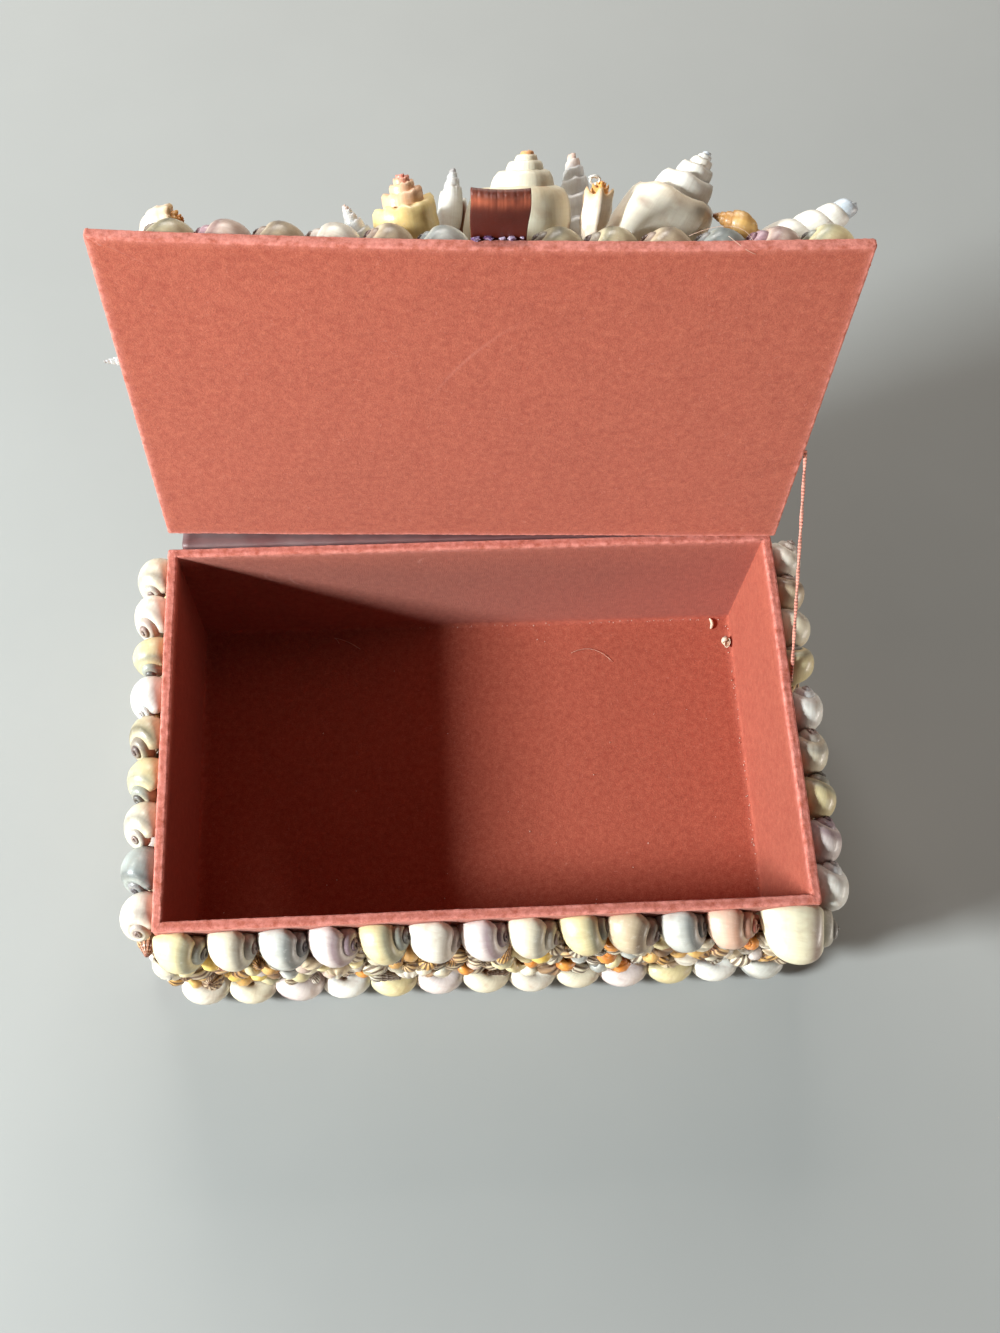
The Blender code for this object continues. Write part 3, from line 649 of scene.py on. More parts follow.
def flocked_paper(name, colour, dust):
    """Dusty flocked paper: mottled nap at three scales, lint, scuffs, and pale fuzz where it is worn."""
    made, tree, shader = new_material(name, Roughness=0.95, Specular_IOR_Level=0.10, Sheen_Weight=0.30,
                                      Sheen_Roughness=0.5, Sheen_Tint=(1.0, 0.62, 0.54, 1.0))
    place = object_place(tree)
    colour = np.asarray(colour[:3])
    deep = rgba(colour * (0.91, 0.83, 0.83))
    pale = rgba(np.minimum(colour * (1.07, 1.15, 1.15), 1.0))
    nap = noise(tree, place, 480.0, 5.0, 0.70, 0.20)
    tone = mix(tree, mapped(tree, nap, 0.28, 0.72), deep, pale)
    patches = noise(tree, place, 55.0, 4.0, 0.6, 0.3)
    paler = rgba(np.minimum(colour * 1.15 + 0.02, 1))
    tone = mix(tree, mapped(tree, patches, 0.40, 0.72, 0.0, 0.10), tone, paler)
    fibre = noise(tree, place, 2300.0, 2.0, 0.6)
    tone = mix(tree, 0.5, tone, mix(tree, mapped(tree, fibre, 0.35, 0.65), (0.38, 0.34, 0.34, 1),
                                    (0.64, 0.64, 0.64, 1)), "OVERLAY")
    lint = noise(tree, place, 700.0, 1.0, 0.4, 2.0)
    tone = mix(tree, mapped(tree, lint, 0.70, 0.76, 0.0, dust), tone, rgba((.93, .70, .64)))
    cells = {"Vector": stretched(tree, place, (9.0, 14.0, 14.0)), "Scale": 1.0}
    scratch = add_node(tree, "TexVoronoi", cells, feature="DISTANCE_TO_EDGE").outputs["Distance"]
    broken = noise(tree, place, 30.0, 2.0, 0.5)
    scratched = math_node(tree, "MULTIPLY", mapped(tree, scratch, 0.0, 0.006, 1.0, 0.0),
                          mapped(tree, broken, 0.52, 0.66, 0.0, 0.25))
    tone = mix(tree, scratched, tone, pale)
    for centre, radius, width, reach, strength in SCUFFS:
        off_ring = math_node(tree, "SUBTRACT", distance_to(tree, place, centre), radius)
        ring = mapped(tree, math_node(tree, "ABSOLUTE", off_ring), 0.0, width, 1.0, 0.0)
        if reach:
            near = distance_to(tree, place, reach[0])
            ring = math_node(tree, "MULTIPLY", ring, mapped(tree, near, reach[1], 0.0, 0.0, 1.0))
        patchy = math_node(tree, "MULTIPLY", ring, mapped(tree, nap, 0.34, 0.60, 0.2, strength))
        tone = mix(tree, patchy, tone, rgba((.90, .64, .58)))
    wear_and_gleam = attribute(tree, "wear_and_gleam", "Fac")
    worn = math_node(tree, "MULTIPLY", wear_and_gleam, mapped(tree, noise(tree, place, 420.0, 4.0, 0.7), 0.30, 0.66))
    tone = mix(tree, worn, tone, rgba((.90, .58, .53)))
    feed(tree, shader.inputs["Base Color"], tone)
    rough = bump(tree, nap, 0.0003, 0.35)
    feed(tree, shader.inputs["Normal"], bump(tree, fibre, 0.00018, 0.7, rough))
    return made


def shell_surface(name, gloss):
    """Shell: each point's own colour, broken by growth lines, spiral threads, stains and chalky wear, with
    painted shade in the grooves between the fine ribs.
    """
    made, tree, shader = new_material(name, Specular_IOR_Level=0.5, Coat_Weight=gloss, Coat_Roughness=0.22,
                                      Subsurface_Weight=0.06, Subsurface_Radius=(0.004, 0.003, 0.002),
                                      Subsurface_Scale=0.4)
    place = object_place(tree)
    growth = attribute(tree, "growth", "Vector")
    lines = noise(tree, stretched(tree, growth, (9.0, 0.5, 1.0)), 1.0, 4.0, 0.65)
    threads = noise(tree, stretched(tree, growth, (0.35, 7.0, 1.0)), 1.0, 3.0, 0.6)
    tone = attribute(tree, "tint", "Color")
    count = attribute(tree, "ribbing", "Fac")
    along = add_node(tree, "SeparateXYZ", {"Vector": growth}).outputs["X"]
    rib = math_node(tree, "COSINE", math_node(tree, "MULTIPLY", along, count))
    groove = math_node(tree, "MULTIPLY", mapped(tree, rib, 0.35, -0.7, 0.0, 0.85),
                       math_node(tree, "MINIMUM", count, 1.0))
    # Painted shade: the grooves between the fine ribs are darkened toward brown.
    tone = mix(tree, groove, tone, rgba((.36, .22, .13)))
    tone = mix(tree, mapped(tree, lines, 0.32, 0.72, 0.0, 0.24), tone, (0.52, 0.42, 0.34, 1), "MULTIPLY")
    tone = mix(tree, mapped(tree, threads, 0.40, 0.75, 0.0, 0.14), tone, (0.60, 0.52, 0.46, 1), "MULTIPLY")
    stain = noise(tree, place, 150.0, 4.0, 0.6, 0.8)
    tone = mix(tree, mapped(tree, stain, 0.52, 0.78, 0.0, 0.36), tone, rgba((.78, .62, .46)), "MULTIPLY")
    chalk = noise(tree, place, 520.0, 4.0, 0.7)
    tone = mix(tree, mapped(tree, chalk, 0.56, 0.78, 0.0, 0.30), tone, rgba((.95, .93, .89)))
    feed(tree, shader.inputs["Base Color"], tone)
    feed(tree, shader.inputs["Roughness"], mapped(tree, chalk, 0.35, 0.75, 0.30, 0.62))
    grain = bump(tree, chalk, 0.00010, 0.5)
    grown = bump(tree, lines, 0.00016, 0.55, grain)
    sunk = math_node(tree, "MULTIPLY", groove, -1.0)
    feed(tree, shader.inputs["Normal"], bump(tree, sunk, 0.0005, 0.9, grown))
    return made


def satin(name, colour, gleam, weave):
    """Satin ribbon: fine cross threads from its own map, and a painted highlight: streaks of the gleam
    colour painted into the base colour where its gleam value is high."""
    made, tree, shader = new_material(name, Roughness=0.36, Specular_IOR_Level=0.5, Sheen_Weight=0.25,
                                      Sheen_Roughness=0.35, Sheen_Tint=(*linear(gleam), 1.0),
                                      Anisotropic=0.5)
    run = attribute(tree, "growth", "Vector")
    thread = noise(tree, stretched(tree, run, (0.6, weave, 1.0)), 1.0, 2.0, 0.5)
    cross = noise(tree, stretched(tree, run, (weave * 0.4, 0.8, 1.0)), 1.0, 2.0, 0.5)
    uneven = noise(tree, object_place(tree), 240.0, 3.0)
    pale = rgba(np.minimum(colour * 1.18, 1))
    tone = mix(tree, mapped(tree, thread, 0.35, 0.65), rgba(colour * 0.86), pale)
    tone = mix(tree, mapped(tree, uneven, 0.3, 0.7, 0.0, 0.4), tone, rgba(colour * 0.75))
    slanted = add_node(tree, "Mapping", {"Vector": run, "Rotation": (0.0, 0.0, 0.6),
                                         "Scale": (0.14, 0.16, 1.0)})
    pleat = noise(tree, slanted.outputs["Vector"], 1.0, 2.0, 0.5)
    # Painted highlight: streaks of the gleam colour mixed into the base colour where the piece's attribute
    # marks a gleam.
    streak = math_node(tree, "MULTIPLY", attribute(tree, "wear_and_gleam", "Fac"),
                       mapped(tree, pleat, 0.36, 0.66, 0.18, 0.75))
    tone = mix(tree, streak, tone, rgba(gleam))
    feed(tree, shader.inputs["Base Color"], tone)
    ridges = bump(tree, thread, 0.00008, 0.5)
    feed(tree, shader.inputs["Normal"], bump(tree, cross, 0.00006, 0.4, ridges))
    return made


def dried_glue(name):
    """The bed of glue and grit that the small shells sit in."""
    made, tree, shader = new_material(name, Roughness=0.5, Specular_IOR_Level=0.5)
    place = object_place(tree)
    grit = noise(tree, place, 900.0, 5.0, 0.7)
    patch = noise(tree, place, 130.0, 3.0)
    tone = mix(tree, mapped(tree, grit, 0.35, 0.68), rgba((.34, .22, .15)), rgba((.76, .64, .48)))
    tone = mix(tree, mapped(tree, patch, 0.45, 0.7, 0.0, 0.7), tone, rgba((.40, .20, .15)))
    feed(tree, shader.inputs["Base Color"], tone)
    feed(tree, shader.inputs["Normal"], bump(tree, grit, 0.0005, 0.8))
    return made


def twisted_thread(name, colour):
    """The stay cord's thread: two plies wound round each other, paler in random patches."""
    made, tree, shader = new_material(name, Roughness=0.75, Specular_IOR_Level=0.3, Sheen_Weight=0.4,
                                      Sheen_Roughness=0.5)
    run = attribute(tree, "growth", "Vector")
    ply = add_node(tree, "TexWave", {"Vector": stretched(tree, run, (1.0, 0.32, 0.0)), "Scale": 0.8,
                                     "Distortion": 1.2, "Detail": 2.0}).outputs["Fac"]
    fade = noise(tree, object_place(tree), 320.0, 3.0)
    # Painted shade and highlight: darker in the grooves between the plies, paler on their crowns.
    tone = mix(tree, mapped(tree, ply, 0.1, 0.9), rgba(colour * 0.72), rgba(np.minimum(colour * 1.12, 1)))
    tone = mix(tree, mapped(tree, fade, 0.4, 0.7, 0.0, 0.5), tone, rgba((.93, .72, .64)))
    feed(tree, shader.inputs["Base Color"], tone)
    feed(tree, shader.inputs["Normal"], bump(tree, ply, 0.00015, 0.8))
    return made


def purple_stone(name):
    """Small glassy chips of purple quartz."""
    made, tree, shader = new_material(name, Roughness=0.16, Specular_IOR_Level=0.6,
                                      Transmission_Weight=0.35, IOR=1.54)
    cloud = noise(tree, object_place(tree), 700.0, 3.0, 0.6)
    feed(tree, shader.inputs["Base Color"],
         mix(tree, mapped(tree, cloud, 0.35, 0.65), rgba((.42, .26, .48)), rgba((.88, .80, .90))))
    return made


def pale_floor(name, colour):
    """The plain pale floor, with a trace of unevenness."""
    made, tree, shader = new_material(name, Roughness=0.7, Specular_IOR_Level=0.25)
    cloud = noise(tree, object_place(tree), 6.0, 4.0, 0.6)
    base = np.asarray(colour[:3])
    feed(tree, shader.inputs["Base Color"],
         mix(tree, mapped(tree, cloud, 0.3, 0.7), rgba(base * 0.985), rgba(np.minimum(base * 1.01, 1))))
    return made


def material_once(maker, name, *args):
    """The material of that name, made on first use."""
    return bpy.data.materials.get(name) or maker(name, *args)


def paper():
    lining = bpy.context.scene.shell_box_lining
    return material_once(flocked_paper, "flocked_paper", lining.colour, lining.dust)


def shell_finish():
    return material_once(shell_surface, "shell_surface", bpy.context.scene.shell_box_shells.gloss)


# Box and lid in flocked paper

OUTLINE_STEPS = (190, 124, 5)
RIM_WAVE = 0.00018
WALL_LEAN = 0.00015
LID_EDGE_WAVE = 0.00015
FUZZ = 0.00006


def outline_factors(long_steps, short_steps, corner_steps):
    """Factors of a rounded rectangle's outline, one row a sample: x is a half width less the corner's
    radius times the first, plus the radius times the second, and y the same with the last two."""
    t = np.linspace(-1, 1, long_steps)
    s = np.linspace(-1, 1, short_steps)
    one = np.ones_like
    parts = []
    sides = (
        (t, 0 * t, -one(t), -one(t)), (one(s), one(s), s, 0 * s),
        (-t, 0 * t, one(t), one(t)), (-one(s), -one(s), -s, 0 * s),
    )
    corner = np.linspace(0, math.pi / 2, corner_steps + 2)[1:-1]
    for k, side in enumerate(sides):
        parts.append(np.column_stack(side))
        angle = corner - math.pi / 2 + k * math.pi / 2
        signs = ((1, -1), (1, 1), (-1, 1), (-1, -1))[k]
        full = one(angle)
        parts.append(np.column_stack((signs[0] * full, np.cos(angle), signs[1] * full, np.sin(angle))))
    return np.concatenate(parts)


class Station(NamedTuple):
    """One ring of a box or board: its half sizes, height and corner radius, and how worn it is there."""
    half_x: float
    half_y: float
    z: float
    corner: float
    wear_and_gleam: float


def arc_stations(half_x, half_y, z, radius, start, end, steps, corner, wear_and_gleam):
    """Rings round an edge: inset and height follow a quarter circle between two angles in degrees."""
    made = []
    for angle in np.radians(np.linspace(start, end, steps)):
        inset = radius * math.cos(angle)
        made.append(Station(half_x + inset, half_y + inset, z + radius * math.sin(angle), corner, wear_and_gleam))
    return made


def ring_surface(stations, factors):
    """The rings' points: each ring is the rounded outline at its station's half sizes and height."""
    rings = np.array(stations)
    hx, hy, z, corner = (rings[:, k][:, None] for k in range(4))
    x = factors[None, :, 0] * (hx - corner) + factors[None, :, 1] * corner
    y = factors[None, :, 2] * (hy - corner) + factors[None, :, 3] * corner
    points = np.stack(np.broadcast_arrays(x, y, z), axis=-1)
    wear_and_gleam = np.repeat(rings[:, 4], len(factors))
    return points, wear_and_gleam


def box_stations(wall, floor, edge):
    """The box's rings: underside, outer wall, rim, inner wall and floor, from pole to pole."""
    hx = BOX_HIGH[0]
    hy = BOX_HIGH[1]
    rings = [Station(hx * k, hy * k, 0.0, 0.0001, 0.0) for k in (0.002, 0.5, 0.96)]
    rings += arc_stations(hx - edge, hy - edge, edge, edge, -75, 0, 4, edge, 0.2)
    rings += [Station(hx, hy, z, edge, 0.0) for z in np.linspace(0.003, RIM - 0.004, 10)]
    rings += [Station(hx, hy, z, edge, w) for z, w in ((RIM - 0.0022, 0.25), (RIM - 0.0012, 0.6))]
    rings += arc_stations(hx - edge, hy - edge, RIM - edge, edge, 0, 90, 6, edge, 0.95)
    rings += [Station(hx - k, hy - k, RIM, edge, 0.62) for k in (0.0012, wall / 2, wall - 0.0012)]
    inner_x = hx - wall
    inner_y = hy - wall
    inside = edge / 2
    for angle in np.radians(np.linspace(90, 0, 6)):
        out = edge - edge * math.cos(angle)
        z = RIM - edge + edge * math.sin(angle)
        rings.append(Station(inner_x + out, inner_y + out, z, inside, 0.95))
    rings += [Station(inner_x, inner_y, RIM - k, inside, w) for k, w in ((0.0014, 0.5), (0.0026, 0.15))]
    rings += [Station(inner_x, inner_y, z, inside, 0.0)
              for z in np.linspace(RIM - 0.005, floor + 0.002, 18)]
    rings += [Station(inner_x - k, inner_y - k, floor + z, inside, 0.12)
              for k, z in ((0.0001, 0.0007), (0.0004, 0.0002), (0.0010, 0.0))]
    rings += [Station(inner_x * k, inner_y * k, floor, inside * k, 0.0)
              for k in (0.97, 0.9, 0.75, 0.5, 0.25, 0.08, 0.01)]
    return rings


def unfold_run(points):
    """How far round the outline each sample lies, from the middle ring."""
    ring = points[len(points) // 2]
    steps = np.linalg.norm(np.roll(ring, -1, axis=0) - ring, axis=1)
    return np.concatenate(([0.0], np.cumsum(steps)[:-1]))


def make_lined_box(lining):
    """The card box as one ring surface, its rim a little wavy and fuzzy where the paper is folded over."""
    rng = np.random.default_rng(3)
    factors = outline_factors(*OUTLINE_STEPS)
    stations = box_stations(lining.wall, lining.floor, lining.edge)
    points, wear_and_gleam = ring_surface(stations, factors)
    run = unfold_run(points)
    high = smooth_step(points[..., 2], RIM * 0.3, RIM)
    wave = ripple(run, rng, (0.31, 0.17, 0.083))[None, :]
    points[..., 2] += RIM_WAVE * high * wave * (points[..., 2] > RIM - 0.004)
    lean = ripple(run, rng, (0.23, 0.13, 0.061))[None, :]
    outward = points[..., :2] / np.array((BOX_HIGH[0], BOX_HIGH[1]))
    points[..., :2] += WALL_LEAN * (high * lean)[..., None] * outward
    points = points.reshape(-1, 3)
    fuzz = rng.normal(0.0, FUZZ, points.shape) * wear_and_gleam[:, None]
    box = closed_grid(points + fuzz, len(stations), len(factors), None, None)
    faces = box.faces.tolist() + [cap.tolist() for cap in box.caps]
    piece = make_piece("lined_box", box.points, faces, paper(), {"wear_and_gleam": wear_and_gleam})
    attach(piece, "box")
    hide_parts("box_body")
    return piece


def lid_stations(edge):
    """The lid's rings: lining, the turned edge and the outer face, from pole to pole."""
    hx = LID_WIDTH / 2
    hy = LID_DEPTH / 2
    shares = (0.01, 0.1, 0.22, 0.35, 0.48, 0.6, 0.72, 0.82, 0.9, 0.95)
    rings = [Station(hx * k, hy * k, 0.0, edge * k, 0.0) for k in shares]
    rings += [Station(hx - k, hy - k, 0.0, edge, w)
              for k, w in ((0.003, 0.0), (0.002, 0.12), (0.0013, 0.3))]
    rings += arc_stations(hx - edge, hy - edge, edge, edge, -90, 0, 6, edge, 0.85)
    rings += arc_stations(hx - edge, hy - edge, LID_THICKNESS - edge, edge, 0, 90, 6, edge, 0.7)
    rings += [Station(hx * k, hy * k, LID_THICKNESS, edge * k, 0.0)
              for k in (0.97, 0.9, 0.8, 0.68, 0.55, 0.42, 0.3, 0.18, 0.08, 0.01)]
    return rings


def make_lined_lid(lining):
    """The lid board as one ring surface, curled at its free corners."""
    rng = np.random.default_rng(5)
    factors = outline_factors(*OUTLINE_STEPS)
    stations = lid_stations(lining.edge)
    points, wear_and_gleam = ring_surface(stations, factors)
    run = unfold_run(points)
    near_edge = smooth_step(np.abs(points[..., 0]) / LID_WIDTH, 0.42, 0.5)
    near_edge = np.maximum(near_edge, smooth_step(np.abs(points[..., 1]) / LID_DEPTH, 0.42, 0.5))
    points[..., 2] += LID_EDGE_WAVE * near_edge * ripple(run, rng, (0.21, 0.12, 0.067))[None, :]
    points[..., 1] -= LID_DEPTH / 2
    points = points.reshape(-1, 3)
    points += rng.normal(0.0, FUZZ, points.shape) * wear_and_gleam[:, None]
    lid = closed_grid(points, len(stations), len(factors), None, None)
    faces = lid.faces.tolist() + [cap.tolist() for cap in lid.caps]
    piece = make_piece("lined_lid", lid_to_world(lid.points), faces, paper(), {"wear_and_gleam": wear_and_gleam})
    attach(piece, "lid")
    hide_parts("lid_board")
    return piece


# Ribbon hinge, ribbon pull and stay cord

STRIP_COLUMNS = 90
STRIP_ON_WALL_STEPS = 6
STRIP_BEND_STEPS = 12
STRIP_ON_LID_STEPS = 4
STRIP_PUCKER = 0.00016
PULL_ROWS = 34
PULL_TURN_STEPS = 15
PULL_COLUMNS = 46
PULL_CREASE = 0.00014
PULL_BOW = 0.0006
PULL_WAVER = 0.0002
PULL_SELVEDGE = 0.000048
CORD_STEPS = 70
CORD_TWISTS = 4.0
CORD_FLATNESS = 0.72


def bezier(ends, t):
    """A cubic curve through four control points, at each t."""
    a, b, c, d = ends
    t = t[:, None]
    return (1 - t) ** 3 * a + 3 * (1 - t) ** 2 * t * b + 3 * (1 - t) * t ** 2 * c + t ** 3 * d


def sheet_run(grid, along, across):
    """A map for a ribbon: how far along and across it each point lies, in the steps of its weave."""
    rows, columns = grid.shape[:2]
    u, v = np.meshgrid(np.linspace(0, along, rows), np.linspace(0, across, columns), indexing="ij")
    once = np.stack((u, v, 0 * u), axis=-1).reshape(-1, 3)
    return np.concatenate((once, once))


def make_hinge_strip(ribbon):
    """The ribbon hinge: up the back wall, over the gap in a soft curve and onto the lid's outer face, with
    a sheen painted towards its left end.
    """
    rng = np.random.default_rng(8)
    half = (BOX_HIGH[0] - BOX_LOW[0]) / 2 - STRIP_INSET
    across = np.linspace(-half, half, STRIP_COLUMNS)
    wall_y = BOX_HIGH[1] + STRIP_OFF_FACE
    outer = LID_THICKNESS + STRIP_OFF_FACE
    lines = []
    for x in across:
        corner, upper = lid_to_world(np.array(((x, STRIP_OFF_FACE, outer), (x, -STRIP_ON_LID, outer))))
        low = np.array((corner[0], wall_y, RIM - STRIP_ON_WALL))
        top = np.array((corner[0], wall_y, RIM - 0.0008))
        reach = 0.45 * np.linalg.norm(corner - top)
        away = (corner - upper) / np.linalg.norm(corner - upper)
        ends = (top, top + (0, 0, reach), corner + reach * away, corner)
        bend = bezier(ends, np.linspace(0, 1, STRIP_BEND_STEPS))
        wall_part = low + (top - low) * np.linspace(0, 1, STRIP_ON_WALL_STEPS + 1)[:-1, None]
        lid_part = corner + (upper - corner) * np.linspace(0, 1, STRIP_ON_LID_STEPS + 1)[1:, None]
        lines.append(np.concatenate((wall_part, bend, lid_part)))
    grid = np.array(lines)
    pucker = ripple(across, rng, (0.021, 0.009, 0.0047))
    free = np.concatenate((np.zeros(STRIP_ON_WALL_STEPS),
                           np.sin(np.linspace(0, math.pi, STRIP_BEND_STEPS)),
                           np.zeros(STRIP_ON_LID_STEPS)))
    grid[..., 2] += STRIP_PUCKER * pucker[:, None] * free[None, :]
    points, faces = thickened(grid, STRIP_THICKNESS)
    colour = np.array(ribbon.strip_colour[:3])
    surface = material_once(satin, "hinge_satin", colour, (.60, .54, .54), 30.0)
    # Painted sheen: towards its left end the strip is mixed toward the pale grey gleam colour.
    paler = np.repeat(smooth_step(-across, -0.02, 0.095), grid.shape[1]) * 0.8
    piece = make_piece("satin_hinge", points, faces.tolist(), surface,
                       {"growth": sheet_run(grid, 90.0, 6.0), "wear_and_gleam": np.tile(paler, 2)})
    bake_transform(piece)
    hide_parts("hinge_strip")
    return piece


def make_ribbon_pull(ribbon):
    """The pull: a ribbon run beyond the free edge, turned over and brought back, creased at the fold, with
    a highlight painted along the fold.
    """
    rng = np.random.default_rng(9)
    low = LID_TOP + PULL_THICKNESS / 2
    fold = -(LID_DEPTH + PULL_BEYOND - PULL_LOOP / 2)
    glued = -(LID_DEPTH - PULL_GLUED)
    half_turn = np.linspace(0, math.pi, PULL_TURN_STEPS)
    loop = PULL_LOOP / 2
    out = np.column_stack((np.linspace(glued, fold, PULL_ROWS), np.full(PULL_ROWS, low)))
    bend = np.column_stack((fold - loop * np.sin(half_turn), low + loop * (1 - np.cos(half_turn))))[1:-1]
    back_y = np.linspace(fold, glued, PULL_ROWS)
    closing = smooth_step(-back_y, LID_DEPTH - 0.002, LID_DEPTH + PULL_BEYOND * 0.8)
    back = np.column_stack((back_y, low + 0.0009 + (PULL_LOOP - 0.0009) * closing))
    route = np.concatenate((out, bend, back))
    across = np.linspace(-0.5, 0.5, PULL_COLUMNS)
    at_fold = np.exp(-((route[:, 0] - fold) / 0.0035) ** 2)
    free = smooth_step(-route[:, 0], LID_DEPTH - 0.001, LID_DEPTH + 0.008)
    crease = ripple(across, rng, (0.11, 0.063, 0.037))[:, None] * at_fold[None, :] * PULL_CREASE
    bow = -PULL_BOW * (1 - (2 * across[:, None]) ** 2) * free[None, :]
    flare = 1 + 0.05 * free[None, :]
    waver = PULL_WAVER * free[None, :] * np.sin(route[:, 0] * 400)[None, :]
    x = PULL_X + PULL_WIDTH * across[:, None] * flare + waver
    y = np.broadcast_to(route[None, :, 0], x.shape) + crease
    z = route[None, :, 1] + bow + crease
    grid = np.stack((x, y, z), axis=-1)
    grid[..., 2] += PULL_SELVEDGE * smooth_step(np.abs(across), 0.47, 0.49)[:, None]
    points, faces = thickened(grid, PULL_THICKNESS)
    colour = np.array(ribbon.pull_colour[:3])
    surface = material_once(satin, "pull_satin", colour, (.80, .43, .31), 46.0)
    # Painted highlight: a band of gleam along the fold, which the satin paints into the base colour.
    gleaming = np.exp(-((route[:, 0] - fold - 0.0009) / 0.0018) ** 2)
    piece = make_piece("satin_pull", lid_to_world(points), faces.tolist(), surface,
                       {"growth": sheet_run(grid, 26.0, 40.0), "wear_and_gleam": np.tile(gleaming, 2 * len(across))})
    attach(piece, "lid")
    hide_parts("ribbon_pull")
    return piece


def make_stay_cord(ribbon):
    """The stay cord: a thin flat thread, pulled straight from the lid's edge to the wall's top."""
    high = lid_to_world(np.array((CORD_ON_LID,)))[0]
    low = np.array(CORD_ON_WALL)
    path = high + (low - high) * np.linspace(0, 1, CORD_STEPS)[:, None]
    cord = tube(path, CORD_DIAMETER / 2, 12, CORD_TWISTS, CORD_FLATNESS)
    faces = cord.faces.tolist() + [cap.tolist() for cap in cord.caps]
    surface = material_once(twisted_thread, "twisted_thread", np.array(ribbon.cord_colour[:3]))
    piece = make_piece("flat_stay_cord", cord.points, faces, surface, {"growth": cord.growth})
    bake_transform(piece)
    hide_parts("stay_cord")
    return piece


# Rows of moon shells

# How the shells lie: which way their spires point and which way their lips look
UNDER_RIM = ((0.86, 0.28, 0.30), (0.0, -0.42, 1.0))
AT_FOOT = ((0.55, 0.30, -0.75), (0.2, -1.0, 0.3))
MOUTH_DOWN = ((0.80, 0.34, 0.46), (0.1, -1.0, 0.15))


class Row(NamedTuple):
    """A row of moon shells: the solid it stands for, its face, how many, which way the spires point
    along the face, its colours in order along the face, its slot, its fineness, the span along the face
    if that isn't the solid's own, the shells' lie: which way their spires and lips look, and how much
    prouder they stand than the solid."""
    node: str
    face: str
    count: int
    spires: int
    colours: tuple
    slot: str
    fine: bool
    span: tuple = None
    lie: tuple = UNDER_RIM
    rise: float = 1.0


FRONT_TOP = ("butter", "cream", "ice", "lilac", "butter", "ivory", "lilac", "cream", "butter", "tan",
             "ice", "peach")
LEFT_TOP = ("cream", "ivory", "butter", "white", "olive", "butter", "cream", "slate", "ivory")
# Painted light: the rows on the right wall take paler colours than their shells have, standing in for light
# that barely reaches them.
RIGHT_BACK = ("ivory", "tan", "cream", "butter")
RIGHT_FRONT = ("white", "cream", "butter", "lilac", "white")
FRONT_FOOT = ("ivory", "cream", "lilac", "white", "butter", "lilac", "cream", "ivory", "cream", "lilac",
              "butter", "white", "ice")
MIXED = ("cream", "ivory", "lilac", "butter", "tan", "ice", "olive", "white", "rose", "slate")
LID_FRONT_LEFT = ("olive", "rose", "tan", "ivory", "tan", "ice")
LID_FRONT_RIGHT = ("olive", "olive", "tan", "slate", "rose", "butter")


def spread(names, count, shift=0):
    """A row's colours picked from a longer list, in its order."""
    return tuple(names[(3 * k + shift) % len(names)] for k in range(count))


SPAN_LEFT_OF_PULL = (-0.0880, -0.0036)
SPAN_RIGHT_OF_PULL = (0.0118, 0.0972)

MOON_ROWS = (
    Row("front_top_row", "front", 12, -1, FRONT_TOP[::-1], "cream_shell", True, (-0.0808, 0.1000)),
    Row("left_top_row", "left", 9, -1, LEFT_TOP[::-1], "ivory_shell", True, None, MOUTH_DOWN),
    Row("right_top_row_back", "right", 4, -1, RIGHT_BACK, "grey_shell", True, None, MOUTH_DOWN),
    Row("right_top_row_front", "right", 5, -1, RIGHT_FRONT, "grey_shell", True, None, MOUTH_DOWN),
    Row("back_top_row", "back", 13, 1, spread(MIXED, 13), "grey_shell", False),
    Row("front_foot_row", "front", 13, 1, FRONT_FOOT[::-1], "cream_shell", True, None, AT_FOOT),
    Row("left_foot_row", "left", 9, 1, spread(MIXED, 9, 2), "cream_shell", False, None, AT_FOOT),
    Row("right_foot_row", "right", 9, 1, spread(MIXED, 9, 5), "cream_shell", False, None, AT_FOOT),
    Row("back_foot_row", "back", 13, -1, spread(MIXED, 13, 7), "cream_shell", False, None, AT_FOOT),
    Row("lid_front_row_left", "lid", 6, -1, LID_FRONT_LEFT, "ivory_shell", True, SPAN_LEFT_OF_PULL,
        MOUTH_DOWN),
    Row("lid_front_row_right", "lid", 6, -1, LID_FRONT_RIGHT, "ivory_shell", True, SPAN_RIGHT_OF_PULL,
        MOUTH_DOWN),
    Row("lid_left_row", "lid_side", 7, 1, spread(MIXED, 7, 1), "ivory_shell", False, None,
        UNDER_RIM, 1.25),
    Row("lid_right_row", "lid_side", 7, 1, spread(MIXED, 7, 4), "ivory_shell", False, None,
        UNDER_RIM, 1.15),
    Row("lid_back_row", "lid", 12, 1, spread(MIXED, 12, 6), "ivory_shell", False),
)
SUNK = 0.20
ROW_OVERLAP = 0.05
LIE_SCATTER = 0.12
CORNER_OVER_ROW = 0.0055


def set_in_box(template, turn, low, high, rng, give=0.05):
    """A template turned, then scaled and moved so that it fills a box on a face, with a fifth of its
    depth sunk into the glue."""
    points = template.points @ turn.T
    extent = np.ptp(points, axis=0)
    scale = np.array((high[0] - low[0], high[1] / (1 - SUNK), high[2] - low[2])) / extent
    points = points * scale * (1 - give * rng.random())
    centre = (points.min(0) + points.max(0)) / 2
    points[:, 0] += (low[0] + high[0]) / 2 - centre[0]
    points[:, 2] += (low[2] + high[2]) / 2 - centre[2]
    points[:, 1] += high[1] * (1 - 0.06 * rng.random()) - points[:, 1].max()
    return pressed(points)


def moon_templates(fine):
    """Three moon shells of slightly different proportions."""
    along, around = (58, 22) if fine else (38, 14)
    taller = MOON._replace(drop=1.12, growth=2.05)
    flatter = MOON._replace(drop=0.94, growth=2.35, tall=0.74)
    forms = (MOON, taller, flatter)
    return [spiral_shell(form, along, around, 0.25, seed) for seed, form in enumerate(forms)]


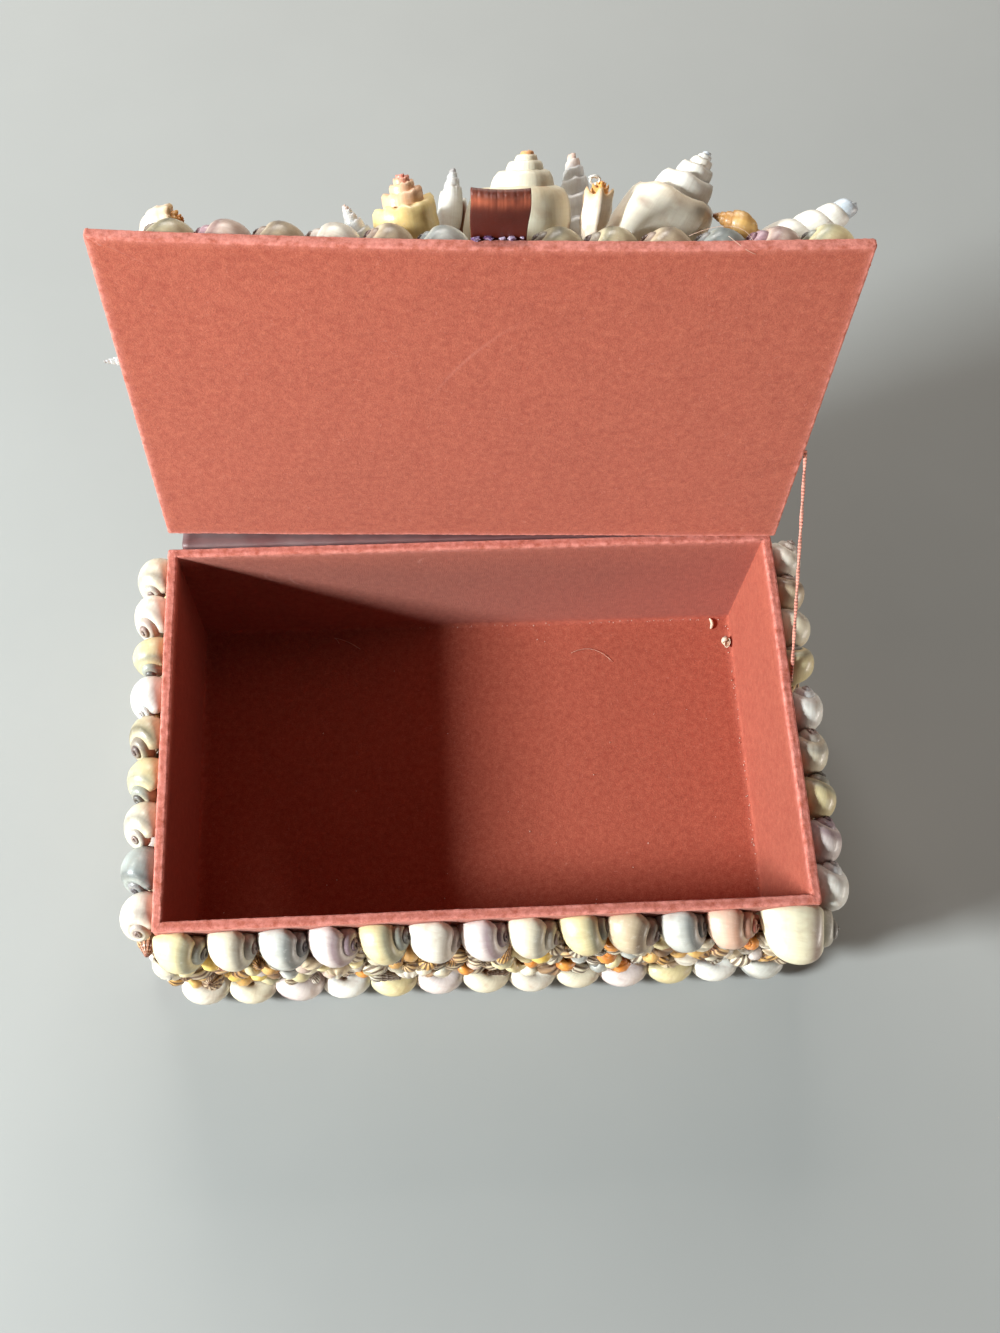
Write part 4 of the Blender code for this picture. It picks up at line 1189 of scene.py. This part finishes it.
def make_moon_row(row, seed):
    """A row of moon shells, each filling its share of the row's solid and lying a little its own way."""
    rng = np.random.default_rng(100 + seed)
    templates = moon_templates(row.fine)
    low, high = face_box(row.node, row.face)
    if row.span:
        low[0], high[0] = row.span
    high[1] *= row.rise
    pitch = (high[0] - low[0]) / row.count
    pile = Pile(rng)
    for k in range(row.count):
        axis = np.array(row.lie[0]) * (row.spires, 1, 1) + rng.normal(0, LIE_SCATTER, 3)
        turn = aimed(axis, np.array(row.lie[1]) + rng.normal(0, LIE_SCATTER, 3))
        template = templates[rng.integers(len(templates))]
        overlap = ROW_OVERLAP * pitch
        start = low[0] + k * pitch
        shell_low = np.array((start - overlap, 0, low[2] + 0.0006 * rng.random()))
        shell_high = np.array((start + pitch + overlap, high[1], high[2] + 0.0004 * rng.random()))
        placed = set_in_box(template, turn, shell_low, shell_high, rng)
        pile.add(template, placed, SHELL_COLOURS[row.colours[k]], shade_of(rng))
    pile.build(row.node.replace("row", "moon_shells"), shell_finish(), body_of_face(row.face),
               lambda points: face_to_world(points, row.face), (row.node,))


def make_corner_shell():
    """The large moon shell at the front right corner, its spire towards the right."""
    rng = np.random.default_rng(77)
    form = MOON._replace(drop=1.05, growth=2.1)
    template = spiral_shell(form, 96, 36, 0.2, 4)
    low, high = face_box("front_corner_shell", "front")
    high[0] += CORNER_OVER_ROW
    turn = aimed((-0.93, 0.22, 0.10), UNDER_RIM[1])
    pile = Pile(rng)
    pile.add(template, set_in_box(template, turn, low, high, rng, 0.0), SHELL_COLOURS["corner"])
    pile.build("corner_moon_shell", shell_finish(), "box",
               lambda points: face_to_world(points, "front"), ("front_corner_shell",))


# Small shells

class Kind(NamedTuple):
    """A kind of small shell: its templates, length, width to length, colours, share of the field, and
    whether it lies flat with its hollow down."""
    templates: list
    length: float
    slim: float
    colours: tuple
    share: float
    flat: bool = False


def small_kinds(fine):
    """The kinds of small shell, worked out once at the fineness asked for."""
    a, b = (30, 13) if fine else (19, 9)
    return (
        Kind([spiral_shell(PERIWINKLE, a, b, 0.3, s) for s in (1, 2)], 0.0092, 0.94,
             ("amber", "lemon", "butter", "ivory", "honey"), 0.19),
        Kind([spiral_shell(DOG_WHELK, 2 * a, b, 0.2, s) for s in (3, 4)], 0.0128, 0.62,
             ("sand", "honey", "cream", "coral", "sand"), 0.41),
        Kind([spiral_shell(TURRET, 2 * a, b, 0.0, 5)], 0.0125, 0.36,
             ("brown", "honey", "slate", "ivory"), 0.08),
        Kind([fan_shell(r, 2 * b + 4, r) for r in (5, 7)], 0.0100, 1.0,
             ("sand", "cream", "brown", "ivory"), 0.16, True),
        Kind([spiral_shell(MOON, a, b, 0.3, 7)], 0.0096, 0.98,
             ("cream", "lilac", "ice", "butter", "rose"), 0.16),
    )


def scattered(low, high, pitch, rng):
    """Places on a face in rows set like bricks, each moved a little at random."""
    columns = max(round((high[0] - low[0]) / pitch), 1)
    rows = max(round((high[2] - low[2]) / (pitch * 0.87)), 1)
    i, j = np.meshgrid(np.arange(columns), np.arange(rows), indexing="ij")
    x = low[0] + (i + 0.30 + 0.4 * (j % 2)) * (high[0] - low[0]) / columns
    z = low[2] + (j + 0.5) * (high[2] - low[2]) / rows
    places = np.stack((x, z), axis=-1).reshape(-1, 2)
    return places + rng.uniform(-0.24, 0.24, places.shape) * pitch


def lying_turn(flat, rng):
    """A small shell's random lie: its axis near the face, and its mouth or hollow towards the glue."""
    around = TAU * rng.random()
    if flat:
        tilt = rng.normal(0, 0.35, 2)
        return aimed((tilt[0], 1.0, tilt[1]), (math.cos(around), 0, math.sin(around)))
    axis = (math.cos(around), 0.32 * rng.normal(), math.sin(around))
    return aimed(axis, (0.3 * rng.normal(), -1.0, 0.3 * rng.normal()))


class Field(NamedTuple):
    """A field of small shells: its piece and glue bed, its face, the solid it stands for, how far apart
    the shells stand, how high they reach, how deep the glue is, and whether they are finely made."""
    piece: str
    bed: str
    face: str
    node: str
    pitch: float
    depth: float
    glue: float
    fine: bool


def wall_field(face, pitch, depth, fine):
    return Field(face + "_band_shells", face + "_glue_bed", face, face + "_small_shells", pitch, depth,
                 0.0026, fine)


SMALL_FIELDS = (
    wall_field("front", 0.0078, 0.0100, True),
    wall_field("left", 0.0080, 0.0092, False),
    wall_field("right", 0.0080, 0.0092, False),
    wall_field("back", 0.0080, 0.0092, False),
    Field("lid_field_shells", "lid_glue_bed", "lid", "lid_small_shells", 0.0084, 0.0072, 0.0012, False),
)
GLUE_STEP = 0.0020
GLUE_SHEET = 0.0012
GLUE_SWELL = 0.0007
GLUE_GRAIN = 0.00025
GLUE_INSET = (0.0006, 0.0004)


def make_small_shells(field, seed):
    """A field of small shells of several kinds, set close together over a plain pad."""
    rng = np.random.default_rng(seed)
    low, high = face_box(field.node, field.face)
    kinds = small_kinds(field.fine)
    shares = np.array([kind.share for kind in kinds])
    pile = Pile(rng)
    for x, z in scattered(low, high, field.pitch, rng):
        kind = kinds[rng.choice(len(kinds), p=shares)]
        template = kind.templates[rng.integers(len(kind.templates))]
        size = np.array((kind.slim, kind.slim, 1)) * (kind.length * rng.uniform(0.78, 1.12))
        placed = (template.points * size) @ lying_turn(kind.flat, rng).T
        reach = field.depth * rng.uniform(0.80, 1.0)
        placed += (x, reach - placed[:, 1].max(), z)
        colours = SHELL_COLOURS[kind.colours[rng.integers(len(kind.colours))]]
        pile.add(template, pressed(placed), colours, shade_of(rng, 0.12))
    pile.build(field.piece, shell_finish(), body_of_face(field.face),
               lambda points: face_to_world(points, field.face), (field.node,))


def make_glue_bed(field, seed):
    """The glue under a field of small shells: a low sheet whose height is the product of two slanting
    ripples and a fine grain, closed behind."""
    rng = np.random.default_rng(seed)
    low, high = face_box(field.node, field.face)
    columns = round((high[0] - low[0]) / GLUE_STEP)
    rows = round((high[2] - low[2]) / GLUE_STEP)
    x, z = np.meshgrid(np.linspace(low[0] + GLUE_INSET[0], high[0] - GLUE_INSET[0], columns),
                       np.linspace(low[2] + GLUE_INSET[1], high[2] - GLUE_INSET[1], rows), indexing="ij")
    swell = ripple(x + 0.4 * z, rng, (0.011, 0.0053)) * ripple(z - 0.3 * x, rng, (0.009, 0.0041))
    y = field.glue + GLUE_SWELL * swell + GLUE_GRAIN * rng.normal(size=x.shape)
    points, faces = thickened(np.stack((x, y, z), axis=-1), GLUE_SHEET)
    piece = make_piece(field.bed, face_to_world(points, field.face), faces.tolist(),
                       material_once(dried_glue, "dried_glue"))
    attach(piece, body_of_face(field.face))
    return piece


# Large shells on the lid

class Large(NamedTuple):
    """A large shell: the solid it stands for, its form, colours, slot, which way its mouth looks, how
    much of it is spotted, and its length and width as shares of the solid's."""
    node: str
    form: Form
    colours: str
    slot: str
    mouth: tuple
    spots: float
    length: float = 1.0
    width: float = 1.0


HIDDEN = (0.1, 0.4, -0.92)
LARGE_SHELLS = (
    Large("orange_whelk", STEPPED_WHELK, "sunset", "orange_shell", HIDDEN, 0.1, 1.18, 1.25),
    Large("white_spindle", SPINDLE, "white", "ivory_shell", (1.0, 0.2, 0.3), 0.1, 1.0, 1.1),
    Large("cream_whelk", PLAIN_WHELK, "apricot", "cream_shell", HIDDEN, 0.9, 1.13, 1.22),
    Large("grey_spire", RIBBED_SPIRE, "pearl", "grey_shell", HIDDEN, 0.1, 1.04, 1.95),
    Large("spiny_shell", SPINY, "flame", "orange_shell", HIDDEN, 0.3),
    Large("white_whelk", BEADED_WHELK, "milk", "ivory_shell", HIDDEN, 0.6, 1.12, 1.25),
    Large("brown_turret", RIBBED_SPIRE, "honey", "brown_shell", HIDDEN, 0.2, 1.0, 1.3),
    Large("long_spire", ROUND_SPIRE, "milk", "grey_shell", HIDDEN, 0.3, 1.25, 1.75),
    Large("small_spire", RIBBED_SPIRE, "pearl", "grey_shell", HIDDEN, 0.9, 1.35, 1.5),
    Large("knobbly_shell", KNOBBLY, "flame", "honey_shell", HIDDEN, 0.3, 1.2, 1.3),
    Large("edge_spire", RIBBED_SPIRE, "white", "grey_shell", HIDDEN, 0.2),
    Large("left_crown_whelk", PLAIN_WHELK, "cream", "cream_shell", HIDDEN, 0.5),
    Large("middle_crown_whelk", BEADED_WHELK, "ivory", "ivory_shell", HIDDEN, 0.4),
    Large("right_crown_whelk", STEPPED_WHELK, "cream", "cream_shell", HIDDEN, 0.5),
    Large("left_back_spire", ROUND_SPIRE, "slate", "grey_shell", HIDDEN, 0.3),
    Large("right_back_spire", RIBBED_SPIRE, "peach", "orange_shell", HIDDEN, 0.2),
)


# Moon shells that hold up the large ones which lie higher than the lid's small shells: where each
# stands on the lid's outer face (along it and across from the hinge), its height and its colours
PROPS = {
    "knobbly_shell": (-0.0860, 0.1075, 0.0155, "tan"),
    "spiny_shell": (0.0305, 0.1060, 0.0165, "ivory"),
    "brown_turret": (0.0690, 0.1075, 0.0160, "olive"),
    "small_spire": (-0.0335, 0.1045, 0.0160, "cream"),
    "edge_spire": (-0.0835, 0.0640, 0.0165, "slate"),
}
PROP_WIDTH = 0.0128
WORM_TUBE_RADIUS = 0.00032


def axis_of(node):
    """Apex, foot and greatest radius of a turned solid: its longest direction, with the foot at the end
    that lies nearer to the widest ring."""
    points = np.unique(np.round(corners_of(node), 6), axis=0)
    centre = points.mean(0)
    axis = np.linalg.svd(points - centre, full_matrices=False)[2][0]
    along = (points - centre) @ axis
    away = np.linalg.norm(points - centre - np.outer(along, axis), axis=1)
    if along[np.argmax(away)] < (along.min() + along.max()) / 2:
        axis, along = -axis, -along
    return centre + axis * along.min(), centre + axis * along.max(), away.max()


def make_large_shell(large, seed):
    """A large shell with its apex on its solid's and its axis along the solid's."""
    rng = np.random.default_rng(300 + seed)
    template = spiral_shell(large.form, 104, 34, large.spots, 50 + seed)
    apex, foot, radius = axis_of(large.node)
    turn = aimed(apex - foot, large.mouth)
    foot = apex + (foot - apex) * large.length
    size = np.array((2 * radius * large.width, 2 * radius * large.width, np.linalg.norm(apex - foot)))
    placed = (template.points * size) @ turn.T + (apex + foot) / 2
    pile = Pile(rng)
    pile.add(template, placed, SHELL_COLOURS[large.colours])
    if large.node == "spiny_shell":
        add_worm_tube(pile, apex, LID_FRAME[:3, :3])
    if large.node in PROPS:
        add_prop(pile, *PROPS[large.node], rng)
    pile.build("shell_" + large.node, shell_finish(), "lid", None, (large.node,))


def add_prop(pile, x, across, top, colours, rng):
    """A moon shell in the glue of the lid, as high as the underside of the large shell it holds up."""
    half = PROP_WIDTH / 2
    turn = aimed(np.array(MOUTH_DOWN[0]) + rng.normal(0, 0.2, 3), np.array(MOUTH_DOWN[1]))
    template = moon_templates(False)[0]
    placed = set_in_box(template, turn, np.array((x - half, 0, across - half)),
                        np.array((x + half, top, across + half)), rng)
    pile.add(template, face_to_world(placed, "lid"), SHELL_COLOURS[colours])


def add_worm_tube(pile, apex, axes):
    """A small white worm tube curled at the spiny shell's tip: a flat spiral that opens as it turns."""
    t = np.linspace(0, 1, 40)
    angle = TAU * 1.4 * t
    reach = 0.0006 + 0.0013 * t
    curve = np.column_stack((reach * np.cos(angle) - 0.0022, -0.0004 - reach * np.sin(angle),
                             0.0004 - 0.001 * t))
    coil = tube(apex + curve @ axes.T, WORM_TUBE_RADIUS, 8)
    pile.add(coil, coil.points, SHELL_COLOURS["white"])


# Loose bits: the crumbs' places on the floor, the hairs' middle lines, and the chips' places along the
# free edge with their sizes

LOOSE_GRAINS = 30
BACK_GRAINS = 34
RIGHT_GRAINS = 46
SLIVER = (0.0893, 0.0570)
SLIVER_SIZE = 0.0042
TINY_SHELL = (0.0945, 0.0490)
TINY_SIZE = (0.0036, 0.0036, 0.0044)
HAIR_RADIUS = 0.00006
HAIRS = (
    ("box", ((-0.0500, 0.0560, 0.0042), (-0.0452, 0.0540, 0.0050), (-0.0405, 0.0512, 0.0042))),
    ("box", ((-0.0497, 0.0558, 0.0042), (-0.0488, 0.0548, 0.0044), (-0.0482, 0.0536, 0.0042))),
    ("box", ((0.0370, 0.0470, 0.0042), (0.0450, 0.0480, 0.0046), (0.0520, 0.0430, 0.0042))),
    ("lid", ((0.0520, -0.1274, 0.0040), (0.0640, -0.1290, 0.0052), (0.0700, -0.1240, 0.0010))),
    ("lid", ((0.0620, -0.1278, 0.0034), (0.0670, -0.1262, -0.0002), (0.0700, -0.1240, 0.0010))),
)
CHIPS = ((-0.0048, 0.0030), (-0.0016, 0.0034), (0.0019, 0.0022), (0.0042, 0.0028), (0.0070, 0.0018))


def curve_through(points, count):
    """A smooth curve through three points: the parabola that meets them at 0, a half and 1."""
    a, b, c = (np.array(p, float) for p in points)
    t = np.linspace(0, 1, count)[:, None]
    return a * (1 - t) * (1 - 2 * t) + b * 4 * t * (1 - t) + c * t * (2 * t - 1)


def make_crumbs(floor):
    """A bent sliver and a tiny shell in the box's back right corner, and grains along the joints."""
    rng = np.random.default_rng(21)
    pile = Pile(rng)
    angle = np.linspace(-1.25, 1.25, 22)
    reach = SLIVER_SIZE / 2
    path = np.column_stack((SLIVER[0] + 0.6 * reach * np.cos(angle), SLIVER[1] + reach * np.sin(angle),
                            np.full(22, floor + 0.0007)))
    sliver = tube(path, (0.00015 + 0.0005 * np.cos(angle))[:, None], 10, 0.0, 0.8)
    pile.add(sliver, sliver.points, SHELL_COLOURS["cream"])
    tiny = spiral_shell(MOON, 44, 18, 0.2, 12)
    placed = (tiny.points * TINY_SIZE) @ aimed((0.15, 0.9, 0.35), (0.9, 0.0, 0.5)).T
    placed += (*TINY_SHELL, floor + 0.0001 - placed[:, 2].min())
    pile.add(tiny, placed, SHELL_COLOURS["cream"])
    loose = rng.uniform((-0.09, -0.055), (0.092, 0.055), (LOOSE_GRAINS, 2))
    at_back = np.column_stack((rng.uniform(-0.02, 0.095, BACK_GRAINS),
                               0.0594 - 0.0008 * rng.random(BACK_GRAINS)))
    at_right = np.column_stack((0.0964 - 0.0010 * rng.random(RIGHT_GRAINS),
                                rng.uniform(-0.058, 0.056, RIGHT_GRAINS)))
    for x, y in np.concatenate((loose, at_back, at_right)):
        grain = pebble(6, 4, 0.4, int(rng.integers(1000)))
        placed = grain.points * rng.uniform(0.0002, 0.0005) + (x, y, floor + 0.0002)
        pile.add(grain, placed, SHELL_COLOURS["ivory"])
    pile.build("shell_crumbs", shell_finish(), "box")


def make_hairs():
    """Pale hairs that cling to the flocking."""
    for body in ("box", "lid"):
        pile = Pile(np.random.default_rng(22))
        for owner, points in HAIRS:
            if owner != body:
                continue
            path = curve_through(points, 24)
            hair = tube(path if body == "box" else lid_to_world(path), HAIR_RADIUS, 5)
            pile.add(hair, hair.points, SHELL_COLOURS["peach"])
        pile.build(body + "_hairs", shell_finish(), body)


def make_purple_chips():
    """Chips of purple stone glued along the free edge, at the foot of the pull."""
    rng = np.random.default_rng(23)
    pile = Pile(rng)
    for k, (x, size) in enumerate(CHIPS):
        chip = pebble(6, 4, 0.5, 60 + k)
        stretch = size * rng.uniform((1.0, 0.4, 0.5), (1.3, 0.7, 0.8))
        high = 0.0024 + 0.0010 * rng.random()
        placed = chip.points * stretch + (PULL_X + x - 0.001, -LID_DEPTH - 0.0004, high)
        pile.add(chip, placed, SHELL_COLOURS["lilac"])
    surface = material_once(purple_stone, "purple_stone")
    pile.build("purple_chips", surface, "lid", lid_to_world, smooth=False)


# Stage

CAMERA_PLACE = (-0.0183, -0.1510, 0.4749)
CAMERA_AHEAD = (0.0564, 0.3797, -0.9234)
CAMERA_RIGHT = (0.9979, -0.0514, 0.0398)
LONG_SIDE = 36.0
FLOOR_REACH = 2.0
FLOOR_POINTS = 9


class AreaLight(NamedTuple):
    """A light panel: its name, place, what it looks at, its width, height and colour."""
    name: str
    place: tuple
    target: tuple
    width: float
    height: float
    colour: tuple


LIGHTS = (
    AreaLight("key_light", (-1.22, -0.30, 0.72), (0, 0, 0.06), 0.25, 0.24, (0.92, 1.0, 1.02)),
    AreaLight("window_light", (-1.10, -1.75, 0.20), (0, 0, 0.12), 0.9, 0.30, (1.0, 0.87, 0.68)),
    AreaLight("rear_light", (-0.10, 1.30, 0.95), (0, 0, 0.12), 0.8, 0.6, (1.0, 0.96, 0.90)),
    AreaLight("side_light", (1.30, -0.40, 0.07), (0, 0, 0.055), 0.7, 0.08, (1.0, 0.93, 0.85)),
)
AMBIENT_COLOUR = (1.0, 0.96, 0.92, 1.0)


def make_light(panel, power):
    """An area light that looks from its place at its target."""
    data = bpy.data.lights.new(panel.name, "AREA")
    data.shape = "RECTANGLE"
    data.size = panel.width
    data.size_y = panel.height
    data.energy = power
    data.color = panel.colour
    light = bpy.data.objects.new(panel.name, data)
    bpy.context.scene.collection.objects.link(light)
    light.location = panel.place
    ahead = Vector(panel.target) - Vector(panel.place)
    light.rotation_euler = ahead.to_track_quat("-Z", "Y").to_euler()


def make_stage(stage):
    """The camera, a pale floor, a key light from the left, a low wide light from the left front, a soft
    one from behind the lid, a faint low one from the right, and a weak even light all round."""
    data = bpy.data.cameras.new("camera")
    data.sensor_width = LONG_SIDE
    data.lens = stage.lens
    data.clip_start = 0.01
    data.clip_end = 20.0
    camera = bpy.data.objects.new("camera", data)
    bpy.context.scene.collection.objects.link(camera)
    ahead = Vector(CAMERA_AHEAD).normalized()
    right = Vector(CAMERA_RIGHT)
    right = (right - ahead * right.dot(ahead)).normalized()
    up = right.cross(ahead)
    turn = Matrix((right, up, -ahead)).transposed().to_4x4()
    camera.matrix_world = Matrix.Translation(CAMERA_PLACE) @ turn
    bpy.context.scene.camera = camera
    line = np.linspace(-FLOOR_REACH, FLOOR_REACH, FLOOR_POINTS)
    points = np.stack(np.broadcast_arrays(line[:, None], line[None, :], 0.0), axis=-1).reshape(-1, 3)
    floor = make_piece("studio_floor", points, grid_faces(FLOOR_POINTS, FLOOR_POINTS, False).tolist(),
                       pale_floor("pale_floor", stage.floor_colour))
    powers = (stage.key_power, stage.window_power, stage.rear_power, stage.side_power)
    for panel, power in zip(LIGHTS, powers):
        make_light(panel, power)
    world = bpy.data.worlds.new("studio_world")
    world.use_nodes = True
    background = world.node_tree.nodes["Background"]
    background.inputs["Color"].default_value = AMBIENT_COLOUR
    background.inputs["Strength"].default_value = stage.ambient
    bpy.context.scene.world = world
    bpy.context.scene.view_settings.view_transform = "Standard"


# Settings, operators and panel

class LiningSettings(bpy.types.PropertyGroup):
    colour: FloatVectorProperty(name="Paper colour", description="The flocked paper's colour on screen",
                                subtype="COLOR_GAMMA", size=3, min=0, max=1, default=(.66, .335, .26))
    dust: FloatProperty(name="Dust", description="How much pale lint shows", subtype="FACTOR", min=0, max=1,
                        default=0.12)
    wall: FloatProperty(name="Wall", description="Thickness of the card walls", unit="LENGTH",
                        default=0.003)
    floor: FloatProperty(name="Floor", description="Thickness of the box's floor", unit="LENGTH",
                         default=0.004)
    edge: FloatProperty(name="Edge", description="Roundness of the covered edges", unit="LENGTH",
                        default=0.0007)


class RibbonSettings(bpy.types.PropertyGroup):
    pull_colour: FloatVectorProperty(name="Pull", description="The pull ribbon's colour on screen",
                                     subtype="COLOR_GAMMA", size=3, min=0, max=1, default=(.31, .10, .06))
    strip_colour: FloatVectorProperty(name="Hinge strip", description="The hinge ribbon's colour on screen",
                                      subtype="COLOR_GAMMA", size=3, min=0, max=1, default=(.42, .27, .27))
    cord_colour: FloatVectorProperty(name="Cord", description="The stay cord's colour on screen",
                                     subtype="COLOR_GAMMA", size=3, min=0, max=1, default=(.82, .52, .45))


class ShellSettings(bpy.types.PropertyGroup):
    gloss: FloatProperty(name="Gloss", description="Strength of the shells' clear gloss", subtype="FACTOR",
                         min=0, max=1, default=0.22)
    seed: IntProperty(name="Seed", description="Which random lie the small shells take", min=0, default=40)


class StageSettings(bpy.types.PropertyGroup):
    lens: FloatProperty(name="Lens", description="Focal length of the camera", unit="CAMERA", default=37.54)
    floor_colour: FloatVectorProperty(name="Floor colour", description="The floor's colour on screen",
                                      subtype="COLOR_GAMMA", size=3, min=0, max=1, default=(.64, .64, .63))
    key_power: FloatProperty(name="Key light", description="Power of the light from the left, in watts",
                             default=44.0)
    window_power: FloatProperty(name="Window light", description="Power of the low wide light, in watts",
                                default=13.5)
    rear_power: FloatProperty(name="Rear light", description="Power of the light behind the lid, in watts",
                              default=17.0)
    side_power: FloatProperty(name="Side light",
                              description="Power of the low light from the right, in watts", default=9.0)
    ambient: FloatProperty(name="Ambient", description="Strength of the even light all round",
                           default=0.065)


class SHELLBOX_OT_lined_box(bpy.types.Operator):
    """Cover the card box in flocked paper"""
    bl_idname = "shell_box.lined_box"
    bl_label = "Lined Box"

    def execute(self, context):
        make_lined_box(context.scene.shell_box_lining)
        return {"FINISHED"}


class SHELLBOX_OT_lined_lid(bpy.types.Operator):
    """Cover the lid board in flocked paper"""
    bl_idname = "shell_box.lined_lid"
    bl_label = "Lined Lid"

    def execute(self, context):
        make_lined_lid(context.scene.shell_box_lining)
        return {"FINISHED"}


class SHELLBOX_OT_ribbons(bpy.types.Operator):
    """Make the ribbon hinge, the ribbon pull and the stay cord"""
    bl_idname = "shell_box.ribbons"
    bl_label = "Ribbons and Cord"

    def execute(self, context):
        ribbon = context.scene.shell_box_ribbon
        make_stay_cord(ribbon)
        make_hinge_strip(ribbon)
        make_ribbon_pull(ribbon)
        return {"FINISHED"}


class SHELLBOX_OT_moon_shells(bpy.types.Operator):
    """Set the rows of moon shells on the walls and the lid, and the large one at the corner"""
    bl_idname = "shell_box.moon_shells"
    bl_label = "Moon Shells"

    def execute(self, context):
        for seed, row in enumerate(MOON_ROWS):
            make_moon_row(row, seed)
        make_corner_shell()
        return {"FINISHED"}


class SHELLBOX_OT_small_shells(bpy.types.Operator):
    """Fill the walls' bands and the middle of the lid with small shells in glue"""
    bl_idname = "shell_box.small_shells"
    bl_label = "Small Shells"

    def execute(self, context):
        seed = context.scene.shell_box_shells.seed
        for k, field in enumerate(SMALL_FIELDS):
            make_small_shells(field, seed + k)
            make_glue_bed(field, seed + k)
        return {"FINISHED"}


class SHELLBOX_OT_large_shells(bpy.types.Operator):
    """Stand the large shells on the lid"""
    bl_idname = "shell_box.large_shells"
    bl_label = "Large Shells"

    def execute(self, context):
        for seed, large in enumerate(LARGE_SHELLS):
            make_large_shell(large, seed)
        return {"FINISHED"}


class SHELLBOX_OT_loose_bits(bpy.types.Operator):
    """Add the crumbs, the hairs and the purple chips"""
    bl_idname = "shell_box.loose_bits"
    bl_label = "Loose Bits"

    def execute(self, context):
        make_crumbs(context.scene.shell_box_lining.floor)
        make_hairs()
        make_purple_chips()
        return {"FINISHED"}


class SHELLBOX_OT_stage(bpy.types.Operator):
    """Set the camera, the floor and the lights"""
    bl_idname = "shell_box.stage"
    bl_label = "Stage"

    def execute(self, context):
        make_stage(context.scene.shell_box_stage)
        return {"FINISHED"}


OPERATORS = (
    SHELLBOX_OT_stage, SHELLBOX_OT_ribbons, SHELLBOX_OT_lined_box, SHELLBOX_OT_lined_lid,
    SHELLBOX_OT_moon_shells, SHELLBOX_OT_small_shells, SHELLBOX_OT_large_shells, SHELLBOX_OT_loose_bits,
)
SETTINGS = {
    "shell_box_lining": LiningSettings,
    "shell_box_ribbon": RibbonSettings,
    "shell_box_shells": ShellSettings,
    "shell_box_stage": StageSettings,
}


class SHELLBOX_PT_panel(bpy.types.Panel):
    """The shell box's sizes, colours and steps"""
    bl_idname = "SHELLBOX_PT_panel"
    bl_label = "Shell Box"
    bl_space_type = "VIEW_3D"
    bl_region_type = "UI"
    bl_category = "Shell Box"

    def draw(self, context):
        for key, group in SETTINGS.items():
            column = self.layout.column(heading=key.replace("shell_box_", "").title())
            for name in group.__annotations__:
                column.prop(getattr(context.scene, key), name)
        for operator in OPERATORS:
            self.layout.operator(operator.bl_idname)


def register():
    for group in (*SETTINGS.values(), *OPERATORS, SHELLBOX_PT_panel):
        bpy.utils.register_class(group)
    for key, group in SETTINGS.items():
        setattr(bpy.types.Scene, key, PointerProperty(type=group))


def unregister():
    for key in SETTINGS:
        delattr(bpy.types.Scene, key)
    for group in (SHELLBOX_PT_panel, *OPERATORS, *SETTINGS.values()):
        bpy.utils.unregister_class(group)


def main():
    register()
    for operator in OPERATORS:
        getattr(bpy.ops.shell_box, operator.bl_idname.split(".")[1])()


if __name__ == "__main__":
    main()
